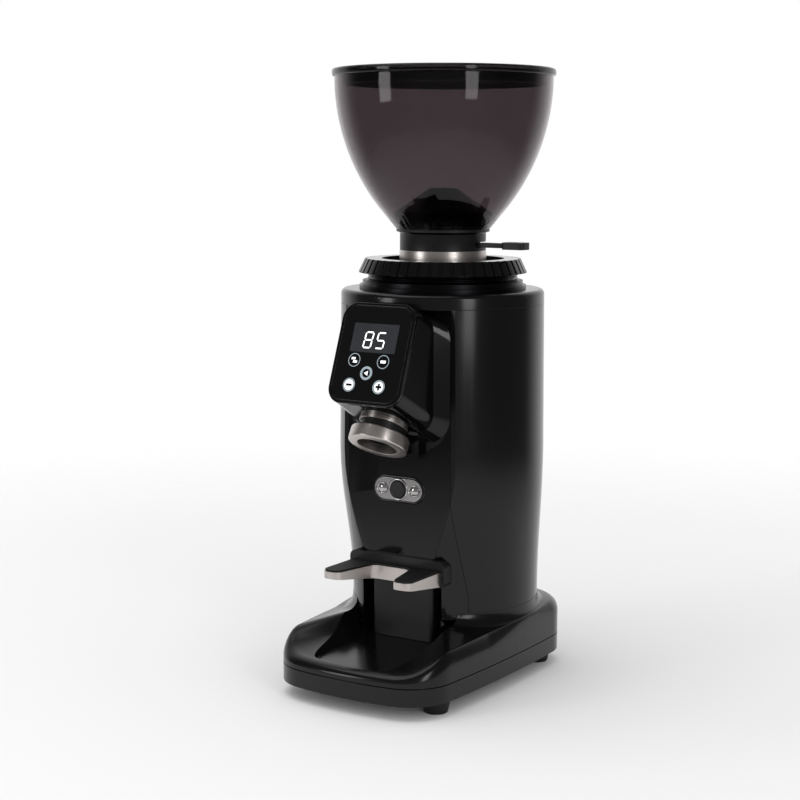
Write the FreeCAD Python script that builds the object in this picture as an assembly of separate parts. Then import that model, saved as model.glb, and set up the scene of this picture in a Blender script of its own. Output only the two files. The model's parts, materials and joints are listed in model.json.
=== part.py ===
import FreeCAD, Part
import math
import os

# Burr coffee grinder that grinds on demand: a bean hopper over a pair of flat burrs, a motor in
# the column, a touch panel over a tilted spout, and a fork under the spout.
# Millimetres. The column's axis is X = Y = 0 while modelling, the front is -Y and up is +Z.

Vec = FreeCAD.Vector
UP = Vec(0, 0, 1)
BACK = Vec(0, 1, 0)
RIGHT = Vec(1, 0, 0)

# Clearances
SEAM = 0.25
FIT = 0.1
RUN = 0.04
SLIP = 0.4

# Heights, stacked from the table upwards
FOOT_H = 11.3
PLATE_H = 13.5
COLUMN_H = 273.2
COVER_H = 11.5
FLANGE_H = 6.5
THREAD_H = 6.0
RING_H = 11.0
RING_WEB = 4.5
THROAT_H = 3.0
COLLAR_H = 8.0
NECK_H = 13.0
BOWL_H = 121.5
LID_H = 6.0
PLATE_TOP = FOOT_H + PLATE_H
COLUMN_TOP = PLATE_TOP + COLUMN_H
COVER_TOP = COLUMN_TOP + COVER_H
FLANGE_TOP = COVER_TOP + FLANGE_H
RING_BOTTOM = FLANGE_TOP + THREAD_H
RING_TOP = RING_BOTTOM + RING_H
CARRIER_TOP = RING_TOP - RING_WEB
COLLAR_BOTTOM = CARRIER_TOP + THROAT_H
NECK_BOTTOM = COLLAR_BOTTOM + COLLAR_H
BOWL_BOTTOM = NECK_BOTTOM + NECK_H
BOWL_TOP = BOWL_BOTTOM + BOWL_H
LID_TOP = BOWL_TOP + LID_H

# Base: four bowed sides with rounded corners, its rim rising towards the rear
BASE_WIDTH = 156.0
BASE_FRONT = 144.0
BASE_REAR = 88.0
FRONT_BOW = 9.5
REAR_BOW = 7.5
SIDE_BOW_FRONT = 7.6
SIDE_BOW_REAR = 2.6
WIDEST_Y = 2.0
BASE_CORNER_R = 37.0
RIM_RISE = 14.7
RIM_SLOPE = 0.073
RIM_ROUND = 5.0
RIM_TURN = 80.0
RIM_STEPS = 3
FENDER_IN = 32.0
FENDER_RISE = 31.8
FENDER_SLOPE = 0.13
FLARE_RISE = 23.2
FLARE_R = 14.0
FLARE_STEPS = 4
FLARE_INSET = 2.5
PLATE_FLOOR = 4.0
PLATE_WALL = 3.5
VENT_W = 3.0
VENT_L = 40.0
VENTS = 7
FOOT_SIDE_IN = 19.8
FOOT_FRONT_IN = 41.7
FOOT_REAR_IN = 31.0
FOOT_TOP_R = 11.5
FOOT_BOTTOM_R = 9.0
FOOT_WEB = 4.5
FOOT_SCREW_R = 2.0
FOOT_SCREW_HEAD_R = 4.0
FOOT_SCREW_HEAD_H = 3.0
FOOT_SCREW_GRIP = 6.0

# Column and front cover
COLUMN_FOOT_R = 74.8
BELLY_R = 81.5
TOP_R = 80.5
CASING_WALL = 4.0
TAPER_BOTTOM = 45.0
TAPER_TOP = 160.0
TAPER_STEPS = 8
FRONT_FLAT = 63.5
SEAM_X_TOP = 46.5
SEAM_X_LOW = 53.0
SEAM_BOW = 0.8
SEAM_BEND_H = 125.0
SEAM_LOW_H = 50.0
LEG_H = 32.0
COVER_ROUND = 4.0
COVER_RIM_W = 8.0
COVER_HUB_W = 4.0
COVER_SKIN = 4.0

# Recess over the base and niche under the fork
RECESS_X = 38.0
RECESS_LIP = 12.0
RECESS_UNDER = 5.5
RECESS_BOW = 5.0
RECESS_CORNER_R = 14.0
RECESS_FLOOR_H = 6.4
RECESS_FLOOR_TILT = 4.5
RECESS_DRAFT = 0.5
RECESS_DEPTH = 30.0
NICHE_X = 36.3
NICHE_DEPTH = 19.9
NICHE_TOP_H = 59.5
NICHE_WALL = 7.0
NICHE_CEILING = 3.0
POST_X = 27.7
POST_SETBACK = 4.9
POST_EDGE_R = 3.0

# Fork and its bracket
FORK_RISE = 12.5
FORK_PAD_H = 1.4
FORK_PAD_INSET = 0.7
FORK_X = 40.2
FORK_L = 45.0
FORK_TIP_W = 15.6
FORK_TIP_R = 7.0
FORK_NOTCH_X = 16.5
FORK_ROOT_L = 6.0
FORK_NOTCH_R = 6.0
FORK_TIP_H = 5.5
FORK_ROOT_H = 11.5
BRACKET_X = 43.5
BRACKET_H = 20.5
BRACKET_PROUD = 3.5
BRACKET_WRAP = 8.5
BRACKET_R = 5.0
FORK_SCREW_X = 20.0
FORK_SCREW_R = 2.0
FORK_SCREW_HEAD_R = 3.4
FORK_SCREW_HEAD_H = 2.5
FORK_SCREW_GRIP = 8.0

# Control head: a leaning panel on a block that stands out of the front cover
PANEL_TILT = 20.6
PANEL_DROP = 32.0
PANEL_PROUD = 29.9
BEZEL_W = 65.5
BEZEL_L = 79.0
BEZEL_R = 13.0
BEZEL_T = 3.0
BEZEL_RIM_X = 3.0
BEZEL_RIM_Y = 2.75
GLASS_T = 1.4
GLASS_LEDGE_X = 3.75
GLASS_LEDGE_Y = 5.75
HEAD_WALL = 3.0
CREASE_PROUD = 8.5
CREASE_X = 36.0
CREASE_TOP_DROP = 1.0
CREASE_BOTTOM_DROP = 93.5
CREASE_R = 15.0
HEAD_SPREAD_X = 9.5
HEAD_SPREAD_DOWN = 8.5
HEAD_TOP_FALL = 2.5
HEAD_FOOT_R = 20.0
TONGUE_X = 21.0
TONGUE_LAP = 7.0
TONGUE_L = 24.5
TONGUE_PROUD = 5.5
TONGUE_R = 7.0
DISPLAY_W = 42.0
DISPLAY_L = 24.0
DISPLAY_T = 6.0
DISPLAY_RISE = 12.0
BOARD_T = 1.6

# Spout: rings on a tube that leans forward out of the head
SPOUT_TILT = 30.0
SPOUT_PROUD = 22.4
SPOUT_BELOW = 10.0
OUTLET_WALL = 5.4
OUTLET_STEP = 0.7
OUTLET_H = 11.0
OUTLET_LIP = 7.0
OUTLET_ROUND = 1.5
CHUTE_BORE = 14.8
CHUTE_WALL = 2.8
CHUTE_END = 60.0
SLEEVE_WALL = 1.4
SLEEVE_H = 10.0
SPOUT_GAP = 6.0
BOSS_WALL = 2.8
BOSS_GRIP = 10.0
PASSAGE_L = 36.0

# Dosing switch on the front cover
SWITCH_BELOW = 23.0
SWITCH_W = 43.0
SWITCH_H = 17.0
SWITCH_SINK = 1.5
SWITCH_T = 2.6
SWITCH_RIM = 1.1
SWITCH_SCREW_R = 4.4
SWITCH_SCREW_H = 1.6
SWITCH_SHANK_R = 1.6
SWITCH_SLOT = 1.0
BUTTON_R = 6.8
BUTTON_PROUD = 1.6
BUTTON_ROUND = 0.8
BUTTON_SKIRT = 2.0
BUTTON_STEM_R = 4.0
BUTTON_TRAVEL = 2.5
BARREL_WALL = 1.1
BARREL_L = 10.5
BARREL_FLOOR = 2.0
BARREL_NUT_W = 4.2
NUT_SIDES = 6
BARREL_NUT_T = 3.0

# Grinding chamber, burrs and adjustment
CHAMBER_BORE = 50.0
CHAMBER_WALL = 6.0
CHAMBER_DEPTH = 51.5
CHAMBER_FLOOR = 4.0
CHAMBER_STEP_W = 3.9
CHAMBER_STEP_H = 3.0
CHAMBER_FLANGE_W = 2.5
THREAD_WALL = 9.6
THREAD_STEPS = 4
THREAD_DEPTH = 0.9
RING_LOW_W = 7.2
RING_TOP_W = 2.0
RING_BEARING = 1.5
RING_GROOVES = 48
RING_GROOVE_W = 2.4
RING_GROOVE_D = 1.4
BURR_R = 32.0
BURR_BORE = 18.0
BURR_T = 7.0
BURR_GAP = 0.35
BURR_TEETH = 12
BURR_TOOTH_D = 1.2
BURR_TOOTH_W = 2.6
BURR_TOOTH_TURN = 25.0
BURR_SCREW_R = 1.8
BURR_SCREW_SINK = 2.0
BURR_SCREW_GRIP = 4.0
BURR_SCREW_PCD = 50.0
BURR_SCREWS = 3
LOWER_CARRIER_T = 8.0
SWEEPER_GAP = 3.0
SWEEPER_W = 9.0
SWEEPER_H = 6.0
SWEEPERS = 3
CAP_NUT_R = 12.0
CAP_NUT_H = 5.0
CARRIER_SKIRT = 26.0
CARRIER_CONE = 7.0
THROAT_WALL = 3.0
COLLAR_PROUD = 0.3

# Motor
SHAFT_R = 6.0
SHAFT_TAIL = 16.0
BEARING_R = 14.0
BEARING_H = 9.0
BEARING_SEAT_W = 4.0
MOTOR_DROP = 58.5
MOTOR_RISE = 9.2
MOTOR_SPACE = 18.5
STATOR_BORE = 28.0
AIR_GAP = 0.6
WINDING_H = 14.0
WINDING_STEP = 2.0
WINDING_GAP = 1.5
BELL_WALL = 3.9
BELL_T = 5.0
BELL_RIM_H = 6.0
BELL_SHOULDER = 3.5
BELL_NECK_R = 34.0
BELL_NECK_W = 8.0
MOTOR_BOLT_R = 2.5
MOTOR_BOLT_GRIP = 9.0
MOTOR_BOLTS = 4
FAN_R = 34.0
FAN_HUB_R = 12.0
FAN_H = 8.0
FAN_BLADES = 9
FAN_BLADE_T = 1.6

# Electrics
CAPACITOR_R = 13.0
CAPACITOR_H = 42.0
CAPACITOR_X = -26.0
CAPACITOR_GAP = 3.0
CLIP_WALL = 2.0
CLIP_H = 12.0
POWER_BOARD_W = 60.0
POWER_BOARD_L = 44.0
STANDOFF_H = 6.0
STANDOFF_R = 3.0
ROCKER_W = 13.0
ROCKER_H = 19.0
ROCKER_T = 9.0
ROCKER_PIVOT = 2.5
ROCKER_PIN_R = 1.5
ROCKER_PIN_L = 1.6
ROCKER_RISE = 102.0
ROCKER_FRAME = 2.8
ROCKER_LIP = 2.0
ROCKER_PROUD = 1.8
ROCKER_DEEP = 14.0
ROCKER_TILT = 8.0
GLAND_R = 8.0
GLAND_BORE = 3.6
GLAND_RISE = 62.0
GLAND_FLANGE_R = 11.0
GLAND_PROUD = 4.0
GLAND_DEEP = 12.0

# Hopper, gate and lid
NECK_R = 34.0
NECK_WALL = 2.1
BOWL_R = 85.6
BOWL_WALL = 2.5
BOWL_CONE_R = 49.2
BOWL_CONE_H = 18.5
GATE_GAP = 0.3
GATE_SPIGOT_H = 19.0
GATE_WALL = 5.6
GATE_WEB = 2.7
GATE_LIP_FLARE = 4.6
GATE_LIP_H = 12.0
GATE_LIP_W = 2.0
GATE_RIM = 3.0
GATE_HUB_R = 6.0
GATE_WINDOW_ANGLE = 80.0
GATE_WINDOW_TURN = 90.0
GATE_SWING = 80.0
SHUTTER_LAND = 2.0
SHUTTER_T = 3.0
LEVER_W = 9.0
LEVER_T = 3.6
LEVER_REACH = 75.0
PADDLE_L = 19.0
PADDLE_W = 13.0
PADDLE_T = 5.5
PADDLE_R = 2.7
GUARD_TOP_R = 9.5
GUARD_SETBACK = 1.0
GUARD_H = 20.0
GUARD_WALL = 2.0
GUARD_SKIRT = 4.0
GUARD_SIDES = 6
GUARD_WINDOW_W = 13.0
GUARD_RIM = 8.0
LID_OVERHANG = 2.0
LID_PLUG_GAP = 3.6
LID_PLUG_H = 6.5
LID_WALL = 2.5
LID_ROUND = 2.2

# Levels and places that several pieces share
RIM_LEVEL = PLATE_TOP + RIM_RISE
FOOT_X = BASE_WIDTH / 2 - FOOT_SIDE_IN
FOOT_FRONT_Y = FOOT_FRONT_IN - BASE_FRONT
FOOT_REAR_Y = BASE_REAR - FOOT_REAR_IN
FOOT_LEAN = BELLY_R - COLUMN_FOOT_R
RECESS_FRONT = BASE_FRONT - RECESS_LIP
RECESS_REAR = FRONT_FLAT - RECESS_UNDER
NICHE_BACK = FRONT_FLAT - NICHE_DEPTH
NICHE_TOP = PLATE_TOP + NICHE_TOP_H
POST_FRONT = FRONT_FLAT - POST_SETBACK
BRACKET_FRONT = FRONT_FLAT + BRACKET_PROUD
FORK_TOP = NICHE_TOP + FORK_RISE
FORK_REACH = BRACKET_FRONT + FORK_L
FORK_NOTCH_Y = BRACKET_FRONT + FORK_ROOT_L
FORK_SCREW_Z = FORK_TOP - FORK_ROOT_H / 2
CREASE_Y = FRONT_FLAT + CREASE_PROUD
PANEL_REACH = CREASE_Y + PANEL_PROUD
GLASS_W = BEZEL_W - 2 * BEZEL_RIM_X
GLASS_L = BEZEL_L - 2 * BEZEL_RIM_Y
GLASS_R = BEZEL_R - BEZEL_RIM_X
WINDOW_W = GLASS_W - 2 * GLASS_LEDGE_X
WINDOW_L = GLASS_L - 2 * GLASS_LEDGE_Y
HEAD_FOOT_X = CREASE_X + HEAD_SPREAD_X
HEAD_FOOT_TOP_DROP = CREASE_TOP_DROP + HEAD_TOP_FALL
HEAD_FOOT_BOTTOM_DROP = CREASE_BOTTOM_DROP + HEAD_SPREAD_DOWN
TONGUE_TOP_DROP = CREASE_BOTTOM_DROP - TONGUE_LAP
TONGUE_DROP = CREASE_BOTTOM_DROP + TONGUE_L
OUTLET_Y = -CREASE_Y - SPOUT_PROUD
OUTLET_DROP = CREASE_BOTTOM_DROP + SPOUT_BELOW
OUTLET_BORE = CHUTE_BORE + OUTLET_STEP
CHUTE_R = CHUTE_BORE + CHUTE_WALL
OUTLET_R = CHUTE_R + OUTLET_WALL
SLEEVE_R = CHUTE_R + SLEEVE_WALL
BOSS_R = CHUTE_R + BOSS_WALL
SWITCH_DROP = TONGUE_DROP + SWITCH_BELOW
SWITCH_SCREW_X = SWITCH_W / 2 - SWITCH_SCREW_R - SWITCH_RIM
BARREL_R = BUTTON_R + SLIP + BARREL_WALL
BARREL_NUT_R = BARREL_R + BARREL_NUT_W
CHAMBER_R = CHAMBER_BORE + CHAMBER_WALL
THREAD_R = CHAMBER_BORE + THREAD_WALL
CHAMBER_STEP_R = THREAD_R + CHAMBER_STEP_W
CHAMBER_FLANGE_R = CHAMBER_STEP_R + CHAMBER_FLANGE_W
RING_R_LOW = THREAD_R + RING_LOW_W
RING_R_TOP = THREAD_R + RING_TOP_W
RING_BORE = CHAMBER_BORE - RING_BEARING
SWEEPER_R = CHAMBER_BORE - SWEEPER_GAP
CHAMBER_BOTTOM = COVER_TOP - CHAMBER_DEPTH
CHAMBER_FLOOR_TOP = CHAMBER_BOTTOM + CHAMBER_FLOOR
LOWER_BURR_Z = CHAMBER_FLOOR_TOP + 2 * SLIP + LOWER_CARRIER_T
UPPER_BURR_Z = LOWER_BURR_Z + BURR_T + BURR_GAP
BURR_SEAT = UPPER_BURR_Z + BURR_T
MOTOR_TOP = CHAMBER_BOTTOM - MOTOR_DROP
STATOR_TOP = MOTOR_TOP - WINDING_H
MOTOR_BOTTOM = NICHE_TOP + NICHE_CEILING + MOTOR_RISE + BELL_T
STATOR_BOTTOM = MOTOR_BOTTOM + WINDING_H
STATOR_R = FRONT_FLAT - MOTOR_SPACE
WINDING_R = STATOR_R - BELL_SHOULDER - WINDING_GAP
WINDING_BORE = STATOR_BORE + WINDING_STEP
BELL_R = STATOR_R + FIT + BELL_WALL
MOTOR_BOLT_PCD = 2 * BELL_NECK_R - BELL_NECK_W
PLATE_INSIDE = FOOT_H + PLATE_FLOOR
CAPACITOR_Y = POWER_BOARD_L / 2 + CAPACITOR_R + CLIP_WALL + CAPACITOR_GAP
COLLAR_R = NECK_R + COLLAR_PROUD
THROAT_R = NECK_R
THROAT_BORE = NECK_R - THROAT_WALL
GATE_R = NECK_R - NECK_WALL - GATE_GAP
GATE_SPIGOT_R = THROAT_BORE - SLIP
GATE_BORE = GATE_SPIGOT_R - GATE_WALL
GATE_WINDOW_R = GATE_BORE - GATE_RIM
GATE_LIP_R = GATE_R + GATE_LIP_FLARE
GUARD_R = GATE_LIP_R - GUARD_SETBACK
SHUTTER_R = GATE_R - SHUTTER_LAND
LID_R = BOWL_R + LID_OVERHANG
LID_PLUG_R = BOWL_R - BOWL_WALL - LID_PLUG_GAP
SHUTTER_Z = NECK_BOTTOM + GATE_WEB + SLIP
LEVER_Z = SHUTTER_Z + SHUTTER_T / 2
GATE_LIP_TOP = BOWL_BOTTOM + GATE_LIP_H
REAR_Y = BELLY_R
ROCKER_Z = PLATE_TOP + ROCKER_RISE
ROCKER_PIVOT_Y = REAR_Y - ROCKER_PIVOT
GLAND_Z = PLATE_TOP + GLAND_RISE

# Ends of cutting tools, well outside the grinder
FAR = BASE_WIDTH + BASE_FRONT + BASE_REAR
TINY = 1e-3


# Plain forms


def disc(radius, bottom, top, x=0.0, y=0.0):
    return Part.makeCylinder(radius, top - bottom, Vec(x, y, bottom))


def tube(inner, outer, bottom, top):
    return disc(outer, bottom, top).cut(disc(inner, bottom, top))


def rod(radius, front, rear, x, z):
    """Cylinder that runs from front to rear."""
    return Part.makeCylinder(radius, rear - front, Vec(x, front, z), BACK)


def block(x0, x1, y0, y1, z0, z1):
    return Part.makeBox(x1 - x0, y1 - y0, z1 - z0, Vec(x0, y0, z0))


def turned(points):
    """Solid of revolution about Z from a closed outline of (radius, height) points."""
    outline = [Vec(radius, 0, height) for radius, height in points]
    return Part.Face(Part.makePolygon(outline + outline[:1])).revolve(Vec(), UP, 360)


def turn(shape, angle):
    """Copy of a shape, turned about Z."""
    copy = shape.copy()
    copy.rotate(Vec(), UP, angle)
    return copy


def around(shape, count, start=0.0):
    """Copies of a shape, evenly spaced about Z."""
    return [turn(shape, start + 360.0 * step / count) for step in range(count)]


def leaning(angle, origin):
    """Frame turned about X."""
    return FreeCAD.Placement(origin, FreeCAD.Rotation(RIGHT, angle))


def placed(shape, frame):
    return shape.transformed(frame.toMatrix())


def rounded_wire(width, length, radius):
    """Rounded rectangle in the XY plane, centred on the origin."""
    bend = radius * (1 - math.sqrt(0.5))
    corners = []
    for quarter in range(4):
        half_x, half_y = (width / 2, length / 2) if quarter % 2 == 0 else (length / 2, width / 2)
        points = [Vec(half_x, half_y - radius, 0), Vec(half_x - bend, half_y - bend, 0),
                  Vec(half_x - radius, half_y, 0)]
        rotation = FreeCAD.Rotation(UP, 90 * quarter)
        corners.append([rotation.multVec(point) for point in points])
    edges = []
    for corner, following in zip(corners, corners[1:] + corners[:1]):
        edges.append(Part.Arc(*corner).toShape())
        edges.append(Part.makeLine(corner[2], following[0]))
    return Part.Wire(edges)


def rounded_slab(width, length, radius, bottom, top):
    slab = Part.Face(rounded_wire(width, length, radius)).extrude(Vec(0, 0, top - bottom))
    slab.translate(Vec(0, 0, bottom))
    return slab


def upright_edges(solid):
    """Straight edges that run along Z."""
    boxes = [(edge, edge.BoundBox) for edge in solid.Edges]
    return [edge for edge, box in boxes if box.ZLength > TINY > max(box.XLength, box.YLength)]


def flat_edges(solid, height, least_reach):
    """Level edges at a height that reach at least so far along X."""
    boxes = [(edge, edge.BoundBox) for edge in solid.Edges]
    level = [(edge, box) for edge, box in boxes if box.ZMin > height - TINY and box.ZMax < height + TINY]
    return [edge for edge, box in level if box.XMax > least_reach - TINY]


# Casing


def base_prism(inset, bottom, top):
    """Prism on the base's outline: four bowed sides with rounded corners."""
    half_width = BASE_WIDTH / 2 - inset
    front = inset - BASE_FRONT
    rear = BASE_REAR - inset
    front_right = Vec(half_width - SIDE_BOW_FRONT, front + FRONT_BOW, bottom)
    rear_right = Vec(half_width - SIDE_BOW_REAR, rear - REAR_BOW, bottom)
    front_left = Vec(-front_right.x, front_right.y, bottom)
    rear_left = Vec(-rear_right.x, rear_right.y, bottom)
    arcs = [Part.Arc(front_left, Vec(0, front, bottom), front_right),
            Part.Arc(front_right, Vec(half_width, WIDEST_Y, bottom), rear_right),
            Part.Arc(rear_right, Vec(0, rear, bottom), rear_left),
            Part.Arc(rear_left, Vec(-half_width, WIDEST_Y, bottom), front_left)]
    outline = Part.Wire([arc.toShape() for arc in arcs])
    prism = Part.Face(outline).extrude(Vec(0, 0, top - bottom))
    return prism.makeFillet(BASE_CORNER_R - inset, upright_edges(prism))


def lowest_wire(prism):
    return min(prism.Faces, key=lambda face: face.CenterOfMass.z).OuterWire


def rising(shape, slope):
    """The shape sheared so that it rises towards the rear."""
    shear = FreeCAD.Matrix()
    shear.A32 = slope
    return shape.transformGeometry(shear)


def rim_wire(inset, level, slope):
    return rising(lowest_wire(base_prism(inset, level, COLUMN_TOP)), slope)


def base_block():
    """Upper half of the base: walls up to the rim, a rounded rim, then gently sloping fenders."""
    below_rim = rising(block(-FAR, FAR, -FAR, FAR, -FAR, RIM_LEVEL), RIM_SLOPE)
    walls = base_prism(0, PLATE_TOP, COLUMN_TOP).common(below_rim)
    wires = []
    for step in range(RIM_STEPS + 1):
        bend = math.radians(RIM_TURN * step / RIM_STEPS)
        inset = RIM_ROUND * (1 - math.cos(bend))
        wires.append(rim_wire(inset, RIM_LEVEL + RIM_ROUND * math.sin(bend), RIM_SLOPE))
    wires.append(rim_wire(FENDER_IN, PLATE_TOP + FENDER_RISE, FENDER_SLOPE))
    return walls.fuse(Part.makeLoft(wires, True, True))


def foot_flare():
    """Concave sweep from the fenders up into the column, in ruled strips, inside the base's outline."""
    profile = [(COLUMN_FOOT_R - CASING_WALL, FLARE_R), (COLUMN_FOOT_R - CASING_WALL, 0)]
    for step in range(FLARE_STEPS + 1):
        bend = math.pi / 2 * step / FLARE_STEPS
        profile.append((COLUMN_FOOT_R + FLARE_R * (1 - math.sin(bend)), FLARE_R * (1 - math.cos(bend))))
    flare = turned(profile)
    flare.translate(Vec(0, FOOT_LEAN, PLATE_TOP + FLARE_RISE))
    return flare.common(base_prism(FLARE_INSET, PLATE_TOP, COLUMN_TOP))


def column_solid(inset):
    """Column: circles in ruled strips, its rear line upright and its front leaning in at the foot."""
    sections = [(PLATE_TOP, COLUMN_FOOT_R)]
    for step in range(TAPER_STEPS + 1):
        share = step / TAPER_STEPS
        ease = (1 - math.cos(math.pi * share)) / 2
        height = PLATE_TOP + TAPER_BOTTOM + (TAPER_TOP - TAPER_BOTTOM) * share
        sections.append((height, COLUMN_FOOT_R + (BELLY_R - COLUMN_FOOT_R) * ease))
    circles = []
    for height, radius in sections:
        circles.append(Part.makeCircle(radius - inset, Vec(0, BELLY_R - radius, height)))
    circles.append(Part.makeCircle(TOP_R - inset, Vec(0, 0, COLUMN_TOP)))
    solid = Part.makeLoft([Part.Wire(circle) for circle in circles], True, True)
    return solid.cut(block(-FAR, FAR, -FAR, inset - FRONT_FLAT, 0, FAR))


def recess_wire(spread):
    """Outline of the recess: straight sides and rear, a bowed front with rounded corners."""
    half_width = RECESS_X + spread
    front = -RECESS_FRONT - spread
    corner = front + RECESS_BOW
    bow = [Vec(-half_width, corner, 0), Vec(0, front, 0), Vec(half_width, corner, 0)]
    rear = [bow[2], Vec(half_width, -RECESS_REAR, 0), Vec(-half_width, -RECESS_REAR, 0), bow[0]]
    outline = Part.Wire([Part.Arc(*bow).toShape()] + Part.makePolygon(rear).Edges)
    prism = Part.Face(outline).extrude(Vec(0, 0, RECESS_DEPTH))
    front_edges = [edge for edge in upright_edges(prism) if edge.BoundBox.YMax < corner + TINY]
    return lowest_wire(prism.makeFillet(RECESS_CORNER_R + spread, front_edges))


def above_floor():
    """Frame of the recess floor, which falls towards the front."""
    from_front = FreeCAD.Placement(Vec(0, RECESS_FRONT, 0), FreeCAD.Rotation())
    pivot = Vec(0, -RECESS_FRONT, PLATE_TOP + RECESS_FLOOR_H)
    return leaning(RECESS_FLOOR_TILT, pivot).multiply(from_front)


def recess_cutter():
    """Space over the base, with walls that open upwards."""
    mouth = recess_wire(RECESS_DRAFT * RECESS_DEPTH)
    mouth.translate(Vec(0, 0, RECESS_DEPTH))
    return placed(Part.makeLoft([recess_wire(0), mouth], True, True), above_floor())


def niche_box(top):
    """Space under the fork, down to the recess floor."""
    space = placed(block(-NICHE_X, NICHE_X, -RECESS_FRONT, FAR, 0, FAR), above_floor())
    return space.common(block(-NICHE_X, NICHE_X, -BRACKET_FRONT, -NICHE_BACK, 0, top))


def seam_prism(gap):
    """Region of the front cover seen from the front: upright sides that spread at the foot."""
    top_x = SEAM_X_TOP - gap
    low_x = SEAM_X_LOW - gap
    bend_z = PLATE_TOP + SEAM_BEND_H
    low_z = PLATE_TOP + SEAM_LOW_H
    leg_z = PLATE_TOP + LEG_H + gap
    middle_x = (top_x + low_x) / 2 - SEAM_BOW
    right = [Vec(top_x, -FAR, bend_z), Vec(middle_x, -FAR, (bend_z + low_z) / 2), Vec(low_x, -FAR, low_z)]
    left = [Vec(-point.x, -FAR, point.z) for point in reversed(right)]
    foot = [right[2], Vec(low_x, -FAR, leg_z), Vec(-low_x, -FAR, leg_z), left[0]]
    head = [left[2], Vec(-top_x, -FAR, COLUMN_TOP), Vec(top_x, -FAR, COLUMN_TOP), right[0]]
    edges = [Part.Arc(*right).toShape()] + Part.makePolygon(foot).Edges
    edges += [Part.Arc(*left).toShape()] + Part.makePolygon(head).Edges
    return Part.Face(Part.Wire(edges)).extrude(Vec(0, FAR - NICHE_BACK + NICHE_WALL, 0))


def casing_cavity():
    """Inside of the column, kept behind the niche at the foot."""
    niche = block(-FAR, FAR, -FAR, NICHE_WALL - NICHE_BACK, 0, NICHE_TOP + NICHE_CEILING)
    return column_solid(CASING_WALL).cut(niche)


def main_housing(column, cavity):
    """Column and upper base in one casting, open to the front cover, the recess and the niche."""
    housing = base_block().fuse([foot_flare(), column]).cut(cavity)
    housing = housing.cut([seam_prism(0), recess_cutter(), niche_box(NICHE_TOP)])
    grip_top = PLATE_TOP + FOOT_SCREW_GRIP
    holes = [disc(FOOT_SCREW_R + FIT, PLATE_TOP, grip_top, x, y) for x, y in foot_places()]
    holes.append(rod(GLAND_R + FIT, REAR_Y - GLAND_DEEP, REAR_Y + FAR, 0, GLAND_Z))
    holes.append(rocker_body(FIT, FAR))
    return housing.cut(holes)


def front_cover(column, cavity):
    """Front of the column: flat behind the head and the switch, an arch with two legs at the foot."""
    cover = column.cut(cavity).common(seam_prism(SEAM))
    boss = placed(disc(BOSS_R + SLIP, 0, FAR), spout_frame())
    barrel = placed(disc(BARREL_R + FIT, -CASING_WALL, 0), switch_frame())
    holes = [niche_box(NICHE_TOP), boss, barrel, switch_slab(SEAM, -SWITCH_SINK, SWITCH_T)]
    holes += switch_shanks(FIT) + fork_shanks(FIT)
    return cover.cut(holes)


def foot_places():
    return [(x, y) for y in (FOOT_FRONT_Y, FOOT_REAR_Y) for x in (-FOOT_X, FOOT_X)]


def base_plate():
    """Tray under the base, with bosses for the feet and slots for cooling air."""
    plate = base_prism(0, FOOT_H, PLATE_TOP)
    plate = plate.cut(base_prism(PLATE_WALL, PLATE_INSIDE, PLATE_TOP))
    plate = plate.fuse([disc(FOOT_TOP_R, PLATE_INSIDE, PLATE_TOP, x, y) for x, y in foot_places()])
    holes = [disc(FOOT_SCREW_R + FIT, FOOT_H, PLATE_TOP, x, y) for x, y in foot_places()]
    for row in range(VENTS):
        front = 2 * VENT_W * (row - (VENTS - 1) / 2) - VENT_W / 2
        holes.append(block(-VENT_L / 2, VENT_L / 2, front, front + VENT_W, FOOT_H, PLATE_INSIDE))
    return plate.cut(holes)


def rubber_feet():
    """Tapered feet, each with a deep hole for its screw's head."""
    head = FOOT_SCREW_HEAD_R + FIT
    shank = FOOT_SCREW_R + FIT
    step = FOOT_H - FOOT_WEB
    foot = turned([(head, 0), (FOOT_BOTTOM_R, 0), (FOOT_TOP_R, FOOT_H), (shank, FOOT_H), (shank, step),
                   (head, step)])
    return [foot.translated(Vec(x, y, 0)) for x, y in foot_places()]


def foot_screws():
    """Screws up through the feet and the base plate into the housing."""
    step = FOOT_H - FOOT_WEB
    head = disc(FOOT_SCREW_HEAD_R, step - FOOT_SCREW_HEAD_H, step)
    screw = head.fuse(disc(FOOT_SCREW_R, step, PLATE_TOP + FOOT_SCREW_GRIP))
    return [screw.translated(Vec(x, y, 0)) for x, y in foot_places()]


def top_cover():
    """Round cover on the column, with a rounded edge and a hollow underside."""
    cover = tube(CHAMBER_R + FIT, TOP_R, COLUMN_TOP, COVER_TOP)
    cover = cover.makeFillet(COVER_ROUND, flat_edges(cover, COVER_TOP, TOP_R))
    hollow = tube(CHAMBER_R + COVER_HUB_W, TOP_R - COVER_RIM_W, COLUMN_TOP, COVER_TOP - COVER_SKIN)
    return cover.cut(hollow)


# Fork


def fork_post():
    """Post in the niche that carries the fork, standing on the sloping floor."""
    post = block(-POST_X, POST_X, -POST_FRONT, -NICHE_BACK - SEAM, 0, NICHE_TOP)
    front = [edge for edge in upright_edges(post) if edge.BoundBox.YMax < TINY - POST_FRONT]
    return post.makeFillet(POST_EDGE_R, front).common(niche_box(NICHE_TOP - SEAM))


def fork_bracket():
    """Wide back plate that wraps onto the front cover and takes the fork's rear face."""
    slab = rounded_slab(2 * BRACKET_X, BRACKET_H, BRACKET_R, 0, BRACKET_PROUD + BRACKET_WRAP)
    slab = placed(slab, leaning(90, Vec(0, BRACKET_WRAP - FRONT_FLAT, NICHE_TOP + BRACKET_H / 2)))
    return slab.cut([column_solid(-FIT)] + fork_shanks(FIT))


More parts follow.
